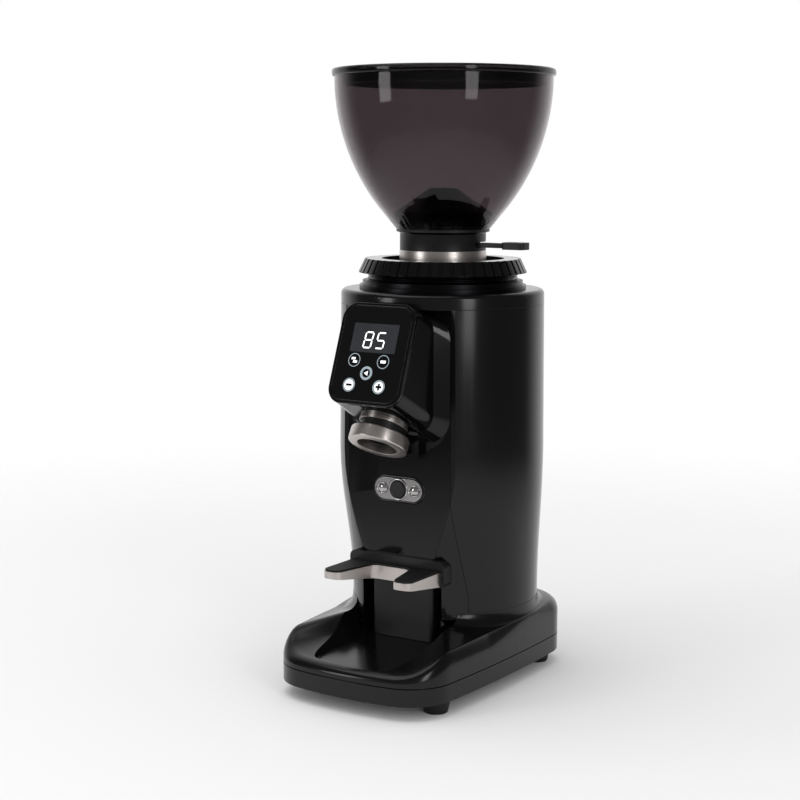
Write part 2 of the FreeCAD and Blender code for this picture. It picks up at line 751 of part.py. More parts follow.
def fork_shanks(grow):
    front = -BRACKET_FRONT - FORK_SCREW_GRIP
    sides = (-FORK_SCREW_X, FORK_SCREW_X)
    return [rod(FORK_SCREW_R + grow, front, CASING_WALL - FRONT_FLAT, x, FORK_SCREW_Z) for x in sides]


def fork_screws():
    """Screws from inside the front cover, through the bracket and into the fork."""
    seat = CASING_WALL - FRONT_FLAT
    screws = []
    for shank in fork_shanks(0):
        x = shank.BoundBox.Center.x
        head = rod(FORK_SCREW_HEAD_R, seat, seat + FORK_SCREW_HEAD_H, x, FORK_SCREW_Z)
        screws.append(shank.fuse(head))
    return screws


def fork_slab(inset, bottom, top):
    """Plan of the fork: two prongs with round tips and a round-cornered notch between them."""
    tip = inset - FORK_REACH
    notch = inset - FORK_NOTCH_Y
    right = [(FORK_X - inset, -BRACKET_FRONT), (FORK_X - inset, tip), (FORK_X - FORK_TIP_W + inset, tip),
             (FORK_NOTCH_X + inset, notch)]
    left = [(-x, y) for x, y in reversed(right)]
    points = [Vec(x, y, bottom) for x, y in right + left]
    slab = Part.Face(Part.makePolygon(points + points[:1])).extrude(Vec(0, 0, top - bottom))
    tips = [edge for edge in upright_edges(slab) if edge.BoundBox.YMax < tip + TINY]
    slab = slab.makeFillet(FORK_TIP_R - inset, tips)
    corners = [edge for edge in upright_edges(slab) if abs(edge.BoundBox.YMax - notch) < TINY]
    return slab.makeFillet(FORK_NOTCH_R, corners)


def fork():
    """Metal fork, deep at its root and thin at its tips."""
    low = FORK_TOP - FORK_ROOT_H
    slab = fork_slab(0, low, FORK_TOP)
    below = [Vec(-FORK_X, -BRACKET_FRONT, low), Vec(-FORK_X, -FORK_REACH, FORK_TOP - FORK_TIP_H),
             Vec(-FORK_X, -FORK_REACH, low), Vec(-FORK_X, -BRACKET_FRONT, low)]
    wedge = Part.Face(Part.makePolygon(below)).extrude(Vec(2 * FORK_X, 0, 0))
    return slab.cut([wedge] + fork_shanks(FIT))


def fork_pad():
    """Thin soft pad on the fork."""
    return fork_slab(FORK_PAD_INSET, FORK_TOP, FORK_TOP + FORK_PAD_H)


# Control head


def panel_frame():
    """Middle of the panel's face, Y up along the panel and Z towards the user."""
    return leaning(90 - PANEL_TILT, Vec(0, -PANEL_REACH, COLUMN_TOP - PANEL_DROP))


def upright_wire(half_width, top_drop, bottom_drop, radius, depth):
    """Rounded rectangle in an upright plane in front of the column."""
    middle = COLUMN_TOP - (top_drop + bottom_drop) / 2
    wire = rounded_wire(2 * half_width, bottom_drop - top_drop, radius)
    return placed(wire, leaning(90, Vec(0, -depth, middle)))


def crease_wire(inset, depth):
    top = CREASE_TOP_DROP + inset
    return upright_wire(CREASE_X - inset, top, CREASE_BOTTOM_DROP - inset, CREASE_R - inset, depth)


def head_loft(inset, sink):
    """Block from behind the leaning bezel back to the crease."""
    panel = rounded_wire(BEZEL_W - 2 * inset, BEZEL_L - 2 * inset, BEZEL_R - inset)
    panel.translate(Vec(0, 0, -BEZEL_T - sink))
    return Part.makeLoft([placed(panel, panel_frame()), crease_wire(inset, CREASE_Y + SEAM)], True, True)


def head_shell():
    """Moulded block behind the panel, trimmed to the top cover, with sockets for the spout."""
    shell = head_loft(0, 0).cut(head_loft(HEAD_WALL, HEAD_WALL))
    window = rounded_slab(WINDOW_W, WINDOW_L, GLASS_R, -BEZEL_T - 2 * HEAD_WALL, 0)
    sleeve = disc(SLEEVE_R + FIT, 0, OUTLET_H + SPOUT_GAP + SLEEVE_H)
    chute = disc(CHUTE_R + FIT, 0, CHUTE_END)
    cover = disc(TOP_R + SEAM, COLUMN_TOP - SEAM, COVER_TOP)
    sockets = [placed(sleeve, spout_frame()), placed(chute, spout_frame())]
    return shell.cut(sockets + [placed(window, panel_frame()), cover])


def head_base():
    """Flange that spreads from the crease onto the front cover, with a tongue behind the spout."""
    rings = []
    for inset in (0, HEAD_WALL):
        foot = upright_wire(HEAD_FOOT_X - inset, HEAD_FOOT_TOP_DROP + inset, HEAD_FOOT_BOTTOM_DROP - inset,
                            HEAD_FOOT_R - inset, FRONT_FLAT)
        rings.append(Part.makeLoft([crease_wire(inset, CREASE_Y), foot], True, True))
    tongue = Part.Face(upright_wire(TONGUE_X, TONGUE_TOP_DROP, TONGUE_DROP, TONGUE_R, FRONT_FLAT))
    base = rings[0].fuse(tongue.extrude(Vec(0, -TONGUE_PROUD, 0))).cut(rings[1])
    return base.cut(placed(disc(BOSS_R + SLIP, 0, FAR), spout_frame()))


def panel_bezel():
    """Frame round the glass, with a seat for it and a window behind it."""
    bezel = rounded_slab(BEZEL_W, BEZEL_L, BEZEL_R, -BEZEL_T, 0)
    seat = rounded_slab(GLASS_W + 2 * FIT, GLASS_L + 2 * FIT, GLASS_R + FIT, -GLASS_T, 0)
    window = rounded_slab(WINDOW_W, WINDOW_L, GLASS_R, -BEZEL_T, 0)
    return placed(bezel.cut([seat, window]), panel_frame())


def touch_glass():
    return placed(rounded_slab(GLASS_W, GLASS_L, GLASS_R, -GLASS_T, 0), panel_frame())


def display_module():
    """Digit display behind the upper half of the glass."""
    back = -GLASS_T - DISPLAY_T
    half_width = DISPLAY_W / 2
    low = DISPLAY_RISE - DISPLAY_L / 2
    return placed(block(-half_width, half_width, low, low + DISPLAY_L, back, -GLASS_T), panel_frame())


def control_board():
    """Board on the display's back, as large as the panel's window."""
    front = -GLASS_T - DISPLAY_T
    half_width = WINDOW_W / 2 - FIT
    half_length = WINDOW_L / 2 - FIT
    board = block(-half_width, half_width, -half_length, half_length, front - BOARD_T, front)
    return placed(board, panel_frame())


# Spout


def spout_frame():
    """Middle of the outlet, Z up along the spout."""
    return leaning(-SPOUT_TILT, Vec(0, OUTLET_Y, COLUMN_TOP - OUTLET_DROP))


def outlet_ring():
    """Ring round the mouth of the spout, with a lip that the chute tube stands on."""
    ring = tube(OUTLET_BORE, OUTLET_R, 0, OUTLET_H)
    rims = flat_edges(ring, 0, OUTLET_R) + flat_edges(ring, OUTLET_H, OUTLET_R)
    ring = ring.makeFillet(OUTLET_ROUND, rims).cut(disc(CHUTE_R + FIT, OUTLET_LIP, OUTLET_H))
    return placed(ring, spout_frame())


def spout_sleeve():
    bottom = OUTLET_H + SPOUT_GAP
    return placed(tube(CHUTE_R + FIT, SLEEVE_R, bottom, bottom + SLEEVE_H), spout_frame())


def chute_tube():
    return placed(tube(CHUTE_BORE, CHUTE_R, OUTLET_LIP, CHUTE_END), spout_frame())


# Dosing switch


def switch_frame():
    """Middle of the switch on the front cover's face, Z towards the user."""
    return leaning(90, Vec(0, -FRONT_FLAT, COLUMN_TOP - SWITCH_DROP))


def switch_slab(grow, bottom, top):
    """Slab with round ends."""
    height = SWITCH_H + 2 * grow
    length = SWITCH_W - SWITCH_H
    ends = [disc(height / 2, bottom, top, x) for x in (-length / 2, length / 2)]
    middle = block(-length / 2, length / 2, -height / 2, height / 2, bottom, top)
    return placed(middle.fuse(ends).removeSplitter(), switch_frame())


def switch_shanks(grow):
    sides = (-SWITCH_SCREW_X, SWITCH_SCREW_X)
    top = SWITCH_T - SWITCH_SINK - SWITCH_SCREW_H
    shanks = [disc(SWITCH_SHANK_R + grow, -CASING_WALL, top, x) for x in sides]
    return [placed(shank, switch_frame()) for shank in shanks]


def screw_heads(grow):
    sides = (-SWITCH_SCREW_X, SWITCH_SCREW_X)
    top = SWITCH_T - SWITCH_SINK
    return [disc(SWITCH_SCREW_R + grow, top - SWITCH_SCREW_H, top, x) for x in sides]


def switch_plate():
    """Bright plate with round ends, sunk a little into the front cover."""
    plate = switch_slab(0, -SWITCH_SINK, SWITCH_T - SWITCH_SINK)
    holes = [disc(BUTTON_R + SLIP, -SWITCH_SINK, SWITCH_T)] + screw_heads(FIT)
    return plate.cut([placed(hole, switch_frame()) for hole in holes] + switch_shanks(FIT))


def switch_screws():
    """Slotted screws, flush with the plate."""
    face = SWITCH_T - SWITCH_SINK
    screws = []
    for head, shank in zip(screw_heads(0), switch_shanks(0)):
        box = head.BoundBox
        slot = block(box.XMin, box.XMax, -SWITCH_SLOT / 2, SWITCH_SLOT / 2, face - SWITCH_SLOT, face)
        screws.append(placed(head.cut(slot), switch_frame()).fuse(shank))
    return screws


def push_button():
    """Round cap that slides in the plate and the barrel, on a thinner stem."""
    face = SWITCH_T - SWITCH_SINK + BUTTON_PROUD
    cap = disc(BUTTON_R, -SWITCH_SINK - BUTTON_SKIRT, face)
    cap = cap.makeFillet(BUTTON_ROUND, flat_edges(cap, face, BUTTON_R))
    stem = disc(BUTTON_STEM_R, BUTTON_TRAVEL + SLIP - BARREL_L, -SWITCH_SINK - BUTTON_SKIRT)
    return placed(cap.fuse(stem), switch_frame())


def switch_barrel():
    """Switch body behind the plate: a cup that guides the cap and the stem."""
    shoulder = -SWITCH_SINK - BUTTON_SKIRT - BUTTON_TRAVEL - SLIP
    cup = disc(BARREL_R, -BARREL_L - BARREL_FLOOR, -SWITCH_SINK)
    bores = [disc(BUTTON_R + SLIP, shoulder, -SWITCH_SINK), disc(BUTTON_STEM_R + SLIP, -BARREL_L, shoulder)]
    return placed(cup.cut(bores), switch_frame())


def barrel_nut():
    """Hexagon nut that clamps the switch from inside the cover."""
    bottom = -CASING_WALL - BARREL_NUT_T
    corner = Vec(BARREL_NUT_R, 0, bottom)
    turns = [360.0 * step / NUT_SIDES for step in range(NUT_SIDES + 1)]
    corners = [FreeCAD.Rotation(UP, angle).multVec(corner) for angle in turns]
    nut = Part.Face(Part.makePolygon(corners)).extrude(Vec(0, 0, BARREL_NUT_T))
    return placed(nut.cut(disc(BARREL_R + FIT, bottom, -CASING_WALL)), switch_frame())


# Grinding chamber and burrs


def grinding_chamber():
    """Chamber hung from the top cover by its flange, with a threaded collar and a chute boss."""
    collar_top = CARRIER_TOP - SLIP
    step = COVER_TOP + CHAMBER_STEP_H
    profile = [(SHAFT_R + 2 * SLIP, CHAMBER_BOTTOM), (CHAMBER_R, CHAMBER_BOTTOM), (CHAMBER_R, COVER_TOP),
               (CHAMBER_FLANGE_R, COVER_TOP), (CHAMBER_FLANGE_R, step), (CHAMBER_STEP_R, step),
               (CHAMBER_STEP_R, FLANGE_TOP)]
    pitch = (collar_top - FLANGE_TOP) / THREAD_STEPS
    for turn_number in range(THREAD_STEPS):
        low = FLANGE_TOP + turn_number * pitch
        profile += [(THREAD_R - THREAD_DEPTH, low), (THREAD_R, low + pitch / 2)]
    profile += [(THREAD_R - THREAD_DEPTH, collar_top), (CHAMBER_BORE, collar_top),
                (CHAMBER_BORE, CHAMBER_FLOOR_TOP), (SHAFT_R + 2 * SLIP, CHAMBER_FLOOR_TOP)]
    boss = placed(disc(BOSS_R, CHUTE_END - BOSS_GRIP, FAR), spout_frame())
    room = block(-CHAMBER_R, CHAMBER_R, -FAR, 0, 0, COLUMN_TOP - CASING_WALL)
    boss = boss.common(room).cut(disc(CHAMBER_BORE, 0, FAR))
    socket = placed(disc(CHUTE_R + FIT, 0, CHUTE_END), spout_frame())
    passage = placed(disc(CHUTE_BORE, CHUTE_END, CHUTE_END + PASSAGE_L), spout_frame())
    return turned(profile).fuse(boss).cut([socket, passage] + motor_bolts(FIT))


def burr_grooves(face, angle):
    """Slanted grooves in a grinding face."""
    groove = block(0, BURR_R, 0, BURR_TOOTH_W, face - BURR_TOOTH_D, face + BURR_TOOTH_D)
    groove.rotate(Vec(), UP, angle)
    groove.translate(Vec(BURR_BORE - BURR_TOOTH_W, 0, 0))
    return around(groove, BURR_TEETH)


def screw_circle(radius, bottom, top):
    """Round bars on the burr screws' circle."""
    return around(disc(radius, bottom, top, BURR_SCREW_PCD / 2), BURR_SCREWS)


def lower_burr():
    ring = tube(BURR_BORE, BURR_R, LOWER_BURR_Z, LOWER_BURR_Z + BURR_T)
    holes = screw_circle(BURR_SCREW_R + FIT, LOWER_BURR_Z, LOWER_BURR_Z + BURR_T)
    return ring.cut(burr_grooves(LOWER_BURR_Z + BURR_T, BURR_TOOTH_TURN) + holes)


def upper_burr():
    ring = tube(BURR_BORE, BURR_R, UPPER_BURR_Z, BURR_SEAT)
    holes = screw_circle(BURR_SCREW_R + FIT, UPPER_BURR_Z, BURR_SEAT)
    return ring.cut(burr_grooves(UPPER_BURR_Z, -BURR_TOOTH_TURN) + holes)


def lower_burr_screws():
    top = LOWER_BURR_Z + BURR_T - BURR_SCREW_SINK
    return screw_circle(BURR_SCREW_R, LOWER_BURR_Z - BURR_SCREW_GRIP, top)


def upper_burr_screws():
    return screw_circle(BURR_SCREW_R, UPPER_BURR_Z + BURR_SCREW_SINK, BURR_SEAT + BURR_SCREW_GRIP)


def lower_burr_carrier():
    """Disc on the shaft, with sweeper arms that push the grounds to the chute."""
    bottom = LOWER_BURR_Z - LOWER_CARRIER_T
    arm = block(0, SWEEPER_R, -SWEEPER_W / 2, SWEEPER_W / 2, bottom, bottom + SWEEPER_H)
    carrier = disc(BURR_R, bottom, LOWER_BURR_Z).fuse(around(arm, SWEEPERS))
    holes = screw_circle(BURR_SCREW_R + FIT, LOWER_BURR_Z - BURR_SCREW_GRIP, LOWER_BURR_Z)
    return carrier.cut(holes + [disc(SHAFT_R + FIT, bottom, LOWER_BURR_Z)])


def cap_nut():
    """Round nut on the shaft's end that clamps the lower carrier."""
    return disc(CAP_NUT_R, LOWER_BURR_Z, LOWER_BURR_Z + CAP_NUT_H)


def upper_burr_carrier():
    """Carrier inside the threaded collar: it holds the upper burr and takes the hopper's spigot."""
    skirt = CARRIER_TOP - CARRIER_SKIRT
    outer = CHAMBER_BORE - SLIP
    spigot_floor = NECK_BOTTOM - GATE_SPIGOT_H - SLIP
    profile = [(BURR_BORE, BURR_SEAT), (BURR_R, BURR_SEAT), (BURR_R, skirt), (outer, skirt),
               (outer, CARRIER_TOP), (THROAT_R, CARRIER_TOP), (THROAT_R, COLLAR_BOTTOM),
               (THROAT_BORE, COLLAR_BOTTOM), (THROAT_BORE, spigot_floor), (GATE_BORE, spigot_floor),
               (BURR_BORE, BURR_SEAT + CARRIER_CONE)]
    return turned(profile).cut(screw_circle(BURR_SCREW_R + FIT, BURR_SEAT, BURR_SEAT + BURR_SCREW_GRIP))


def throat_collar():
    """Bright ring that the hopper's neck stands on."""
    return tube(THROAT_BORE, COLLAR_R, COLLAR_BOTTOM, NECK_BOTTOM)


def adjusting_ring():
    """Grooved nut round the chamber's thread, with a web that bears on the upper carrier."""
    bore = THREAD_R + SLIP
    ring = turned([(RING_BORE, CARRIER_TOP), (bore, CARRIER_TOP), (bore, RING_BOTTOM),
                   (RING_R_LOW, RING_BOTTOM), (RING_R_TOP, RING_TOP), (RING_BORE, RING_TOP)])
    lean = math.degrees(math.atan2(RING_R_LOW - RING_R_TOP, RING_H))
    groove = block(-RING_GROOVE_D, RING_H, -RING_GROOVE_W / 2, RING_GROOVE_W / 2, -RING_H, RING_H)
    groove.rotate(Vec(), BACK, -lean)
    groove.translate(Vec((RING_R_LOW + RING_R_TOP) / 2, 0, (RING_BOTTOM + RING_TOP) / 2))
    return ring.cut(around(groove, RING_GROOVES))


# Motor


def drive_shaft():
    return disc(SHAFT_R, MOTOR_BOTTOM - SHAFT_TAIL, LOWER_BURR_Z)


def upper_bearing():
    bottom = MOTOR_TOP + BELL_T
    return tube(SHAFT_R + RUN, BEARING_R, bottom, bottom + BEARING_H)


def lower_bearing():
    return tube(SHAFT_R + RUN, BEARING_R, MOTOR_BOTTOM, MOTOR_BOTTOM + BEARING_H)


def motor_upper_bell():
    """Bell on the stator with a seat for the upper bearing and a neck up to the chamber."""
    clear = SHAFT_R + 2 * SLIP
    shoulder = STATOR_R - BELL_SHOULDER
    plate_top = MOTOR_TOP + BELL_T
    seat = BEARING_R + BEARING_SEAT_W
    neck = BELL_NECK_R - BELL_NECK_W
    rim = STATOR_TOP - BELL_RIM_H
    seat_top = plate_top + BEARING_H
    profile = [(clear, MOTOR_TOP), (shoulder, MOTOR_TOP), (shoulder, STATOR_TOP),
               (STATOR_R + FIT, STATOR_TOP), (STATOR_R + FIT, rim), (BELL_R, rim), (BELL_R, plate_top),
               (BELL_NECK_R, plate_top), (BELL_NECK_R, CHAMBER_BOTTOM), (neck, CHAMBER_BOTTOM),
               (neck, plate_top), (seat, plate_top), (seat, seat_top), (BEARING_R + FIT, seat_top),
               (BEARING_R + FIT, plate_top), (clear, plate_top)]
    return turned(profile).cut(motor_bolts(FIT))


def motor_lower_bell():
    """Bell under the stator with a seat for the lower bearing."""
    clear = SHAFT_R + 2 * SLIP
    shoulder = STATOR_R - BELL_SHOULDER
    plate_bottom = MOTOR_BOTTOM - BELL_T
    seat = BEARING_R + BEARING_SEAT_W
    rim = STATOR_BOTTOM + BELL_RIM_H
    seat_top = MOTOR_BOTTOM + BEARING_H
    profile = [(clear, MOTOR_BOTTOM), (clear, plate_bottom), (BELL_R, plate_bottom), (BELL_R, rim),
               (STATOR_R + FIT, rim), (STATOR_R + FIT, STATOR_BOTTOM), (shoulder, STATOR_BOTTOM),
               (shoulder, MOTOR_BOTTOM), (seat, MOTOR_BOTTOM), (seat, seat_top), (BEARING_R + FIT, seat_top),
               (BEARING_R + FIT, MOTOR_BOTTOM)]
    return turned(profile)


def motor_bolts(grow):
    """Bolts down through the chamber's floor into the bell's neck."""
    bottom = CHAMBER_BOTTOM - MOTOR_BOLT_GRIP
    shank = disc(MOTOR_BOLT_R + grow, bottom, CHAMBER_FLOOR_TOP, MOTOR_BOLT_PCD / 2)
    return around(shank, MOTOR_BOLTS, 180.0 / MOTOR_BOLTS)


def stator_core():
    return tube(STATOR_BORE, STATOR_R, STATOR_BOTTOM, STATOR_TOP)


def stator_windings():
    """Coil ends that stand out of the core above and below."""
    length = WINDING_H - FIT
    lower = tube(WINDING_BORE, WINDING_R, STATOR_BOTTOM - length, STATOR_BOTTOM)
    upper = tube(WINDING_BORE, WINDING_R, STATOR_TOP, STATOR_TOP + length)
    return [lower, upper]


def rotor_core():
    return tube(SHAFT_R + FIT, STATOR_BORE - AIR_GAP, STATOR_BOTTOM, STATOR_TOP)


def cooling_fan():
    """Fan on the shaft's tail: a hub, a back disc and flat blades."""
    top = MOTOR_BOTTOM - BELL_T - 2 * SLIP
    web = disc(FAN_R, top - FAN_BLADE_T, top)
    blade = block(0, FAN_R, -FAN_BLADE_T / 2, FAN_BLADE_T / 2, top - FAN_H, top)
    fan = disc(FAN_HUB_R, top - FAN_H, top).fuse([web] + around(blade, FAN_BLADES))
    return fan.cut(disc(SHAFT_R + FIT, top - FAN_H, top))


# Electrics


def run_capacitor():
    return disc(CAPACITOR_R, PLATE_INSIDE, PLATE_INSIDE + CAPACITOR_H, CAPACITOR_X, CAPACITOR_Y)


def capacitor_clip():
    """Cup wall round the capacitor's foot."""
    ring = tube(CAPACITOR_R + FIT, CAPACITOR_R + CLIP_WALL, PLATE_INSIDE, PLATE_INSIDE + CLIP_H)
    return ring.translated(Vec(CAPACITOR_X, CAPACITOR_Y, 0))


def power_board():
    bottom = PLATE_INSIDE + STANDOFF_H
    half_width = POWER_BOARD_W / 2
    half_length = POWER_BOARD_L / 2
    return block(-half_width, half_width, -half_length, half_length, bottom, bottom + BOARD_T)


def board_standoffs():
    x = POWER_BOARD_W / 2 - STANDOFF_R
    y = POWER_BOARD_L / 2 - STANDOFF_R
    places = [(-x, -y), (x, -y), (-x, y), (x, y)]
    return [disc(STANDOFF_R, PLATE_INSIDE, PLATE_INSIDE + STANDOFF_H, px, py) for px, py in places]


def rocker_body(grow, rear):
    """Box of the power switch, from inside the housing to a distance behind its rear line."""
    half_width = ROCKER_W / 2 + SLIP + ROCKER_FRAME + grow
    half_height = ROCKER_H / 2 + SLIP + ROCKER_FRAME + grow
    return block(-half_width, half_width, REAR_Y - ROCKER_DEEP, REAR_Y + rear, ROCKER_Z - half_height,
                 ROCKER_Z + half_height)


def rocker_pins(radius, end):
    """Pivot bar across the rocker, with its ends in the frame."""
    reach = ROCKER_W / 2 + SLIP + ROCKER_PIN_L + end
    return Part.makeCylinder(radius, 2 * reach, Vec(-reach, ROCKER_PIVOT_Y, ROCKER_Z), RIGHT)


def rocker_frame():
    """Frame of the power switch: a box through the housing with a lip that lies on its curve."""
    lip = rocker_body(ROCKER_LIP, ROCKER_PROUD).cut(column_solid(-FIT))
    frame = rocker_body(0, ROCKER_PROUD).fuse(lip)
    half_width = ROCKER_W / 2 + SLIP
    half_height = ROCKER_H / 2 + SLIP
    dip = ROCKER_H / 2 * math.sin(math.radians(ROCKER_TILT))
    floor = ROCKER_PIVOT_Y - ROCKER_T / 2 - dip - SLIP
    low = ROCKER_Z - half_height
    pocket = block(-half_width, half_width, floor, FAR, low, ROCKER_Z + half_height)
    return frame.cut([pocket, rocker_pins(ROCKER_PIN_R + RUN, FIT)])


def power_rocker():
    """Rocker with round ends about its pivot, resting with its lower end pressed in."""
    half_width = ROCKER_W / 2
    front = ROCKER_PIVOT_Y - ROCKER_T / 2
    drum = Part.makeCylinder(ROCKER_H / 2, ROCKER_W, Vec(-half_width, ROCKER_PIVOT_Y, ROCKER_Z), RIGHT)
    slab = block(-half_width, half_width, front, front + ROCKER_T, 0, FAR)
    rocker = drum.common(slab).fuse(rocker_pins(ROCKER_PIN_R, 0))
    rocker.rotate(Vec(0, ROCKER_PIVOT_Y, ROCKER_Z), RIGHT, -ROCKER_TILT)
    return rocker


def cord_gland():
    """Gland low on the rear, with a flange that lies on the housing's curve."""
    flange = rod(GLAND_FLANGE_R, REAR_Y - GLAND_PROUD, REAR_Y + GLAND_PROUD, 0, GLAND_Z)
    sleeve = rod(GLAND_R, REAR_Y - GLAND_DEEP, REAR_Y + GLAND_PROUD, 0, GLAND_Z)
    bore = rod(GLAND_BORE, REAR_Y - FAR, REAR_Y + FAR, 0, GLAND_Z)
    return sleeve.fuse(flange.cut(column_solid(-FIT))).cut(bore)


# Hopper


def bowl_wall(inset, neck_r):
    """Half section: an upright neck, a cone, then an arc that ends upright at the rim."""
    cone_z = BOWL_BOTTOM + BOWL_CONE_H
    cone = Vec(BOWL_CONE_R - inset, 0, cone_z)
    rim = Vec(BOWL_R - inset, 0, BOWL_TOP)
    rise = rim.z - cone.z
    reach = rim.x - cone.x
    radius = (reach ** 2 + rise ** 2) / (2 * reach)
    half_turn = math.asin(rise / radius) / 2
    middle = Vec(rim.x - radius * (1 - math.cos(half_turn)), 0, rim.z - radius * math.sin(half_turn))
    neck = [Vec(neck_r, 0, NECK_BOTTOM), Vec(neck_r, 0, BOWL_BOTTOM), cone]
    return Part.makePolygon(neck).Edges + [Part.Arc(cone, middle, rim).toShape()]


def hopper_bowl():
    """Clear bowl on a straight neck, with an arc slot in the neck for the gate's lever."""
    outer = bowl_wall(0, NECK_R)
    inner = bowl_wall(BOWL_WALL, NECK_R - NECK_WALL)
    rim = Part.makeLine(Vec(BOWL_R, 0, BOWL_TOP), Vec(BOWL_R - BOWL_WALL, 0, BOWL_TOP))
    foot = Part.makeLine(Vec(NECK_R - NECK_WALL, 0, NECK_BOTTOM), Vec(NECK_R, 0, NECK_BOTTOM))
    section = Part.Wire(Part.__sortEdges__(outer + inner + [rim, foot]))
    return Part.Face(section).revolve(Vec(), UP, 360).cut(lever_slot(GATE_SPIGOT_R))


def sector(inner, outer, bottom, top, start, end):
    """Part of a ring between two angles about Z."""
    wedge = Part.makeCylinder(outer, top - bottom, Vec(0, 0, bottom), UP, end - start)
    return turn(wedge.cut(disc(inner, bottom, top)), start)


def lever_slot(inner):
    """Arc slot that the gate's lever swings through."""
    edge = math.degrees(math.asin((LEVER_W / 2 + SLIP) / inner))
    play = LEVER_T / 2 + SLIP
    return sector(inner, NECK_R + NECK_WALL, LEVER_Z - play, LEVER_Z + play, -edge, GATE_SWING + edge)


def gate_windows(bottom, top, middle):
    """Two windows on either side of the gate's hub."""
    half = GATE_WINDOW_ANGLE / 2
    turns = (middle, middle + 180)
    return [sector(GATE_HUB_R, GATE_WINDOW_R, bottom, top, angle - half, angle + half) for angle in turns]


def gate_body():
    """Insert in the hopper's neck: a spigot, a windowed web, a shutter pocket and a flared lip."""
    bottom = NECK_BOTTOM - GATE_SPIGOT_H
    web_top = NECK_BOTTOM + GATE_WEB
    pocket_r = SHUTTER_R + SLIP
    pocket_top = web_top + SHUTTER_T + 2 * SLIP
    profile = [(GATE_BORE, bottom), (GATE_SPIGOT_R, bottom), (GATE_SPIGOT_R, NECK_BOTTOM),
               (GATE_R, NECK_BOTTOM), (GATE_R, BOWL_BOTTOM), (GATE_LIP_R, GATE_LIP_TOP),
               (GATE_LIP_R - GATE_LIP_W, GATE_LIP_TOP), (GATE_BORE, BOWL_BOTTOM), (GATE_BORE, pocket_top),
               (pocket_r, pocket_top), (pocket_r, web_top), (0, web_top), (0, NECK_BOTTOM),
               (GATE_BORE, NECK_BOTTOM)]
    windows = gate_windows(NECK_BOTTOM, web_top, GATE_WINDOW_TURN)
    return turned(profile).cut(windows + [lever_slot(GATE_BORE)])


def gate_shutter():
    """Turning shutter with two windows; its lever reaches out through the neck's slot."""
    top = SHUTTER_Z + SHUTTER_T
    windows = gate_windows(SHUTTER_Z, top, GATE_WINDOW_TURN - GATE_SWING)
    plate = disc(SHUTTER_R, SHUTTER_Z, top).cut(windows)
    tongue = block(GATE_BORE, NECK_R, -LEVER_W / 2, LEVER_W / 2, SHUTTER_Z, top)
    rod_end = LEVER_REACH - PADDLE_L / 2
    low = LEVER_Z - LEVER_T / 2
    bar = block(NECK_R, rod_end, -LEVER_W / 2, LEVER_W / 2, low, low + LEVER_T)
    paddle = rounded_slab(PADDLE_L, PADDLE_W, PADDLE_R, LEVER_Z - PADDLE_T / 2, LEVER_Z + PADDLE_T / 2)
    return plate.fuse([tongue, bar, paddle.translated(Vec(rod_end, 0, 0))])


def guard_pyramid(wall):
    """Faceted cone of the finger guard."""
    bottom = GATE_LIP_TOP + GUARD_SKIRT
    wires = []
    for radius, height in ((GUARD_R - wall, bottom), (GUARD_TOP_R - wall, bottom + GUARD_H - wall)):
        first = Vec(radius, 0, height)
        turns = [360.0 * step / GUARD_SIDES for step in range(GUARD_SIDES + 1)]
        wires.append(Part.makePolygon([FreeCAD.Rotation(UP, angle).multVec(first) for angle in turns]))
    return Part.makeLoft(wires, True, True)


def guard_cone():
    """Finger guard over the throat: a faceted cone with windows on a short round skirt."""
    skirt_top = GATE_LIP_TOP + GUARD_SKIRT
    inner = GUARD_R - GUARD_WALL
    skirt = tube(inner * math.cos(math.pi / GUARD_SIDES) - GUARD_WALL, GUARD_R, GATE_LIP_TOP, skirt_top)
    cone = guard_pyramid(0).cut(guard_pyramid(GUARD_WALL))
    half_width = GUARD_WINDOW_W / 2
    window = block(GUARD_TOP_R + GUARD_WALL, GUARD_R - GUARD_RIM, -half_width, half_width, skirt_top,
                   skirt_top + GUARD_H)
    return skirt.fuse(cone).cut(around(window, GUARD_SIDES, 180.0 / GUARD_SIDES))


def hopper_lid():
    """Shallow lid: a rim that rests on the bowl's edge and a ring that centres it."""
    under = LID_TOP - LID_WALL
    ring_bottom = BOWL_TOP - LID_PLUG_H
    lid = turned([(0, under), (LID_PLUG_R - LID_WALL, under), (LID_PLUG_R - LID_WALL, ring_bottom),
                  (LID_PLUG_R, ring_bottom), (LID_PLUG_R, BOWL_TOP), (LID_R, BOWL_TOP), (LID_R, LID_TOP),
                  (0, LID_TOP)])
    return lid.makeFillet(LID_ROUND, flat_edges(lid, LID_TOP, LID_R) + flat_edges(lid, BOWL_TOP, LID_R))


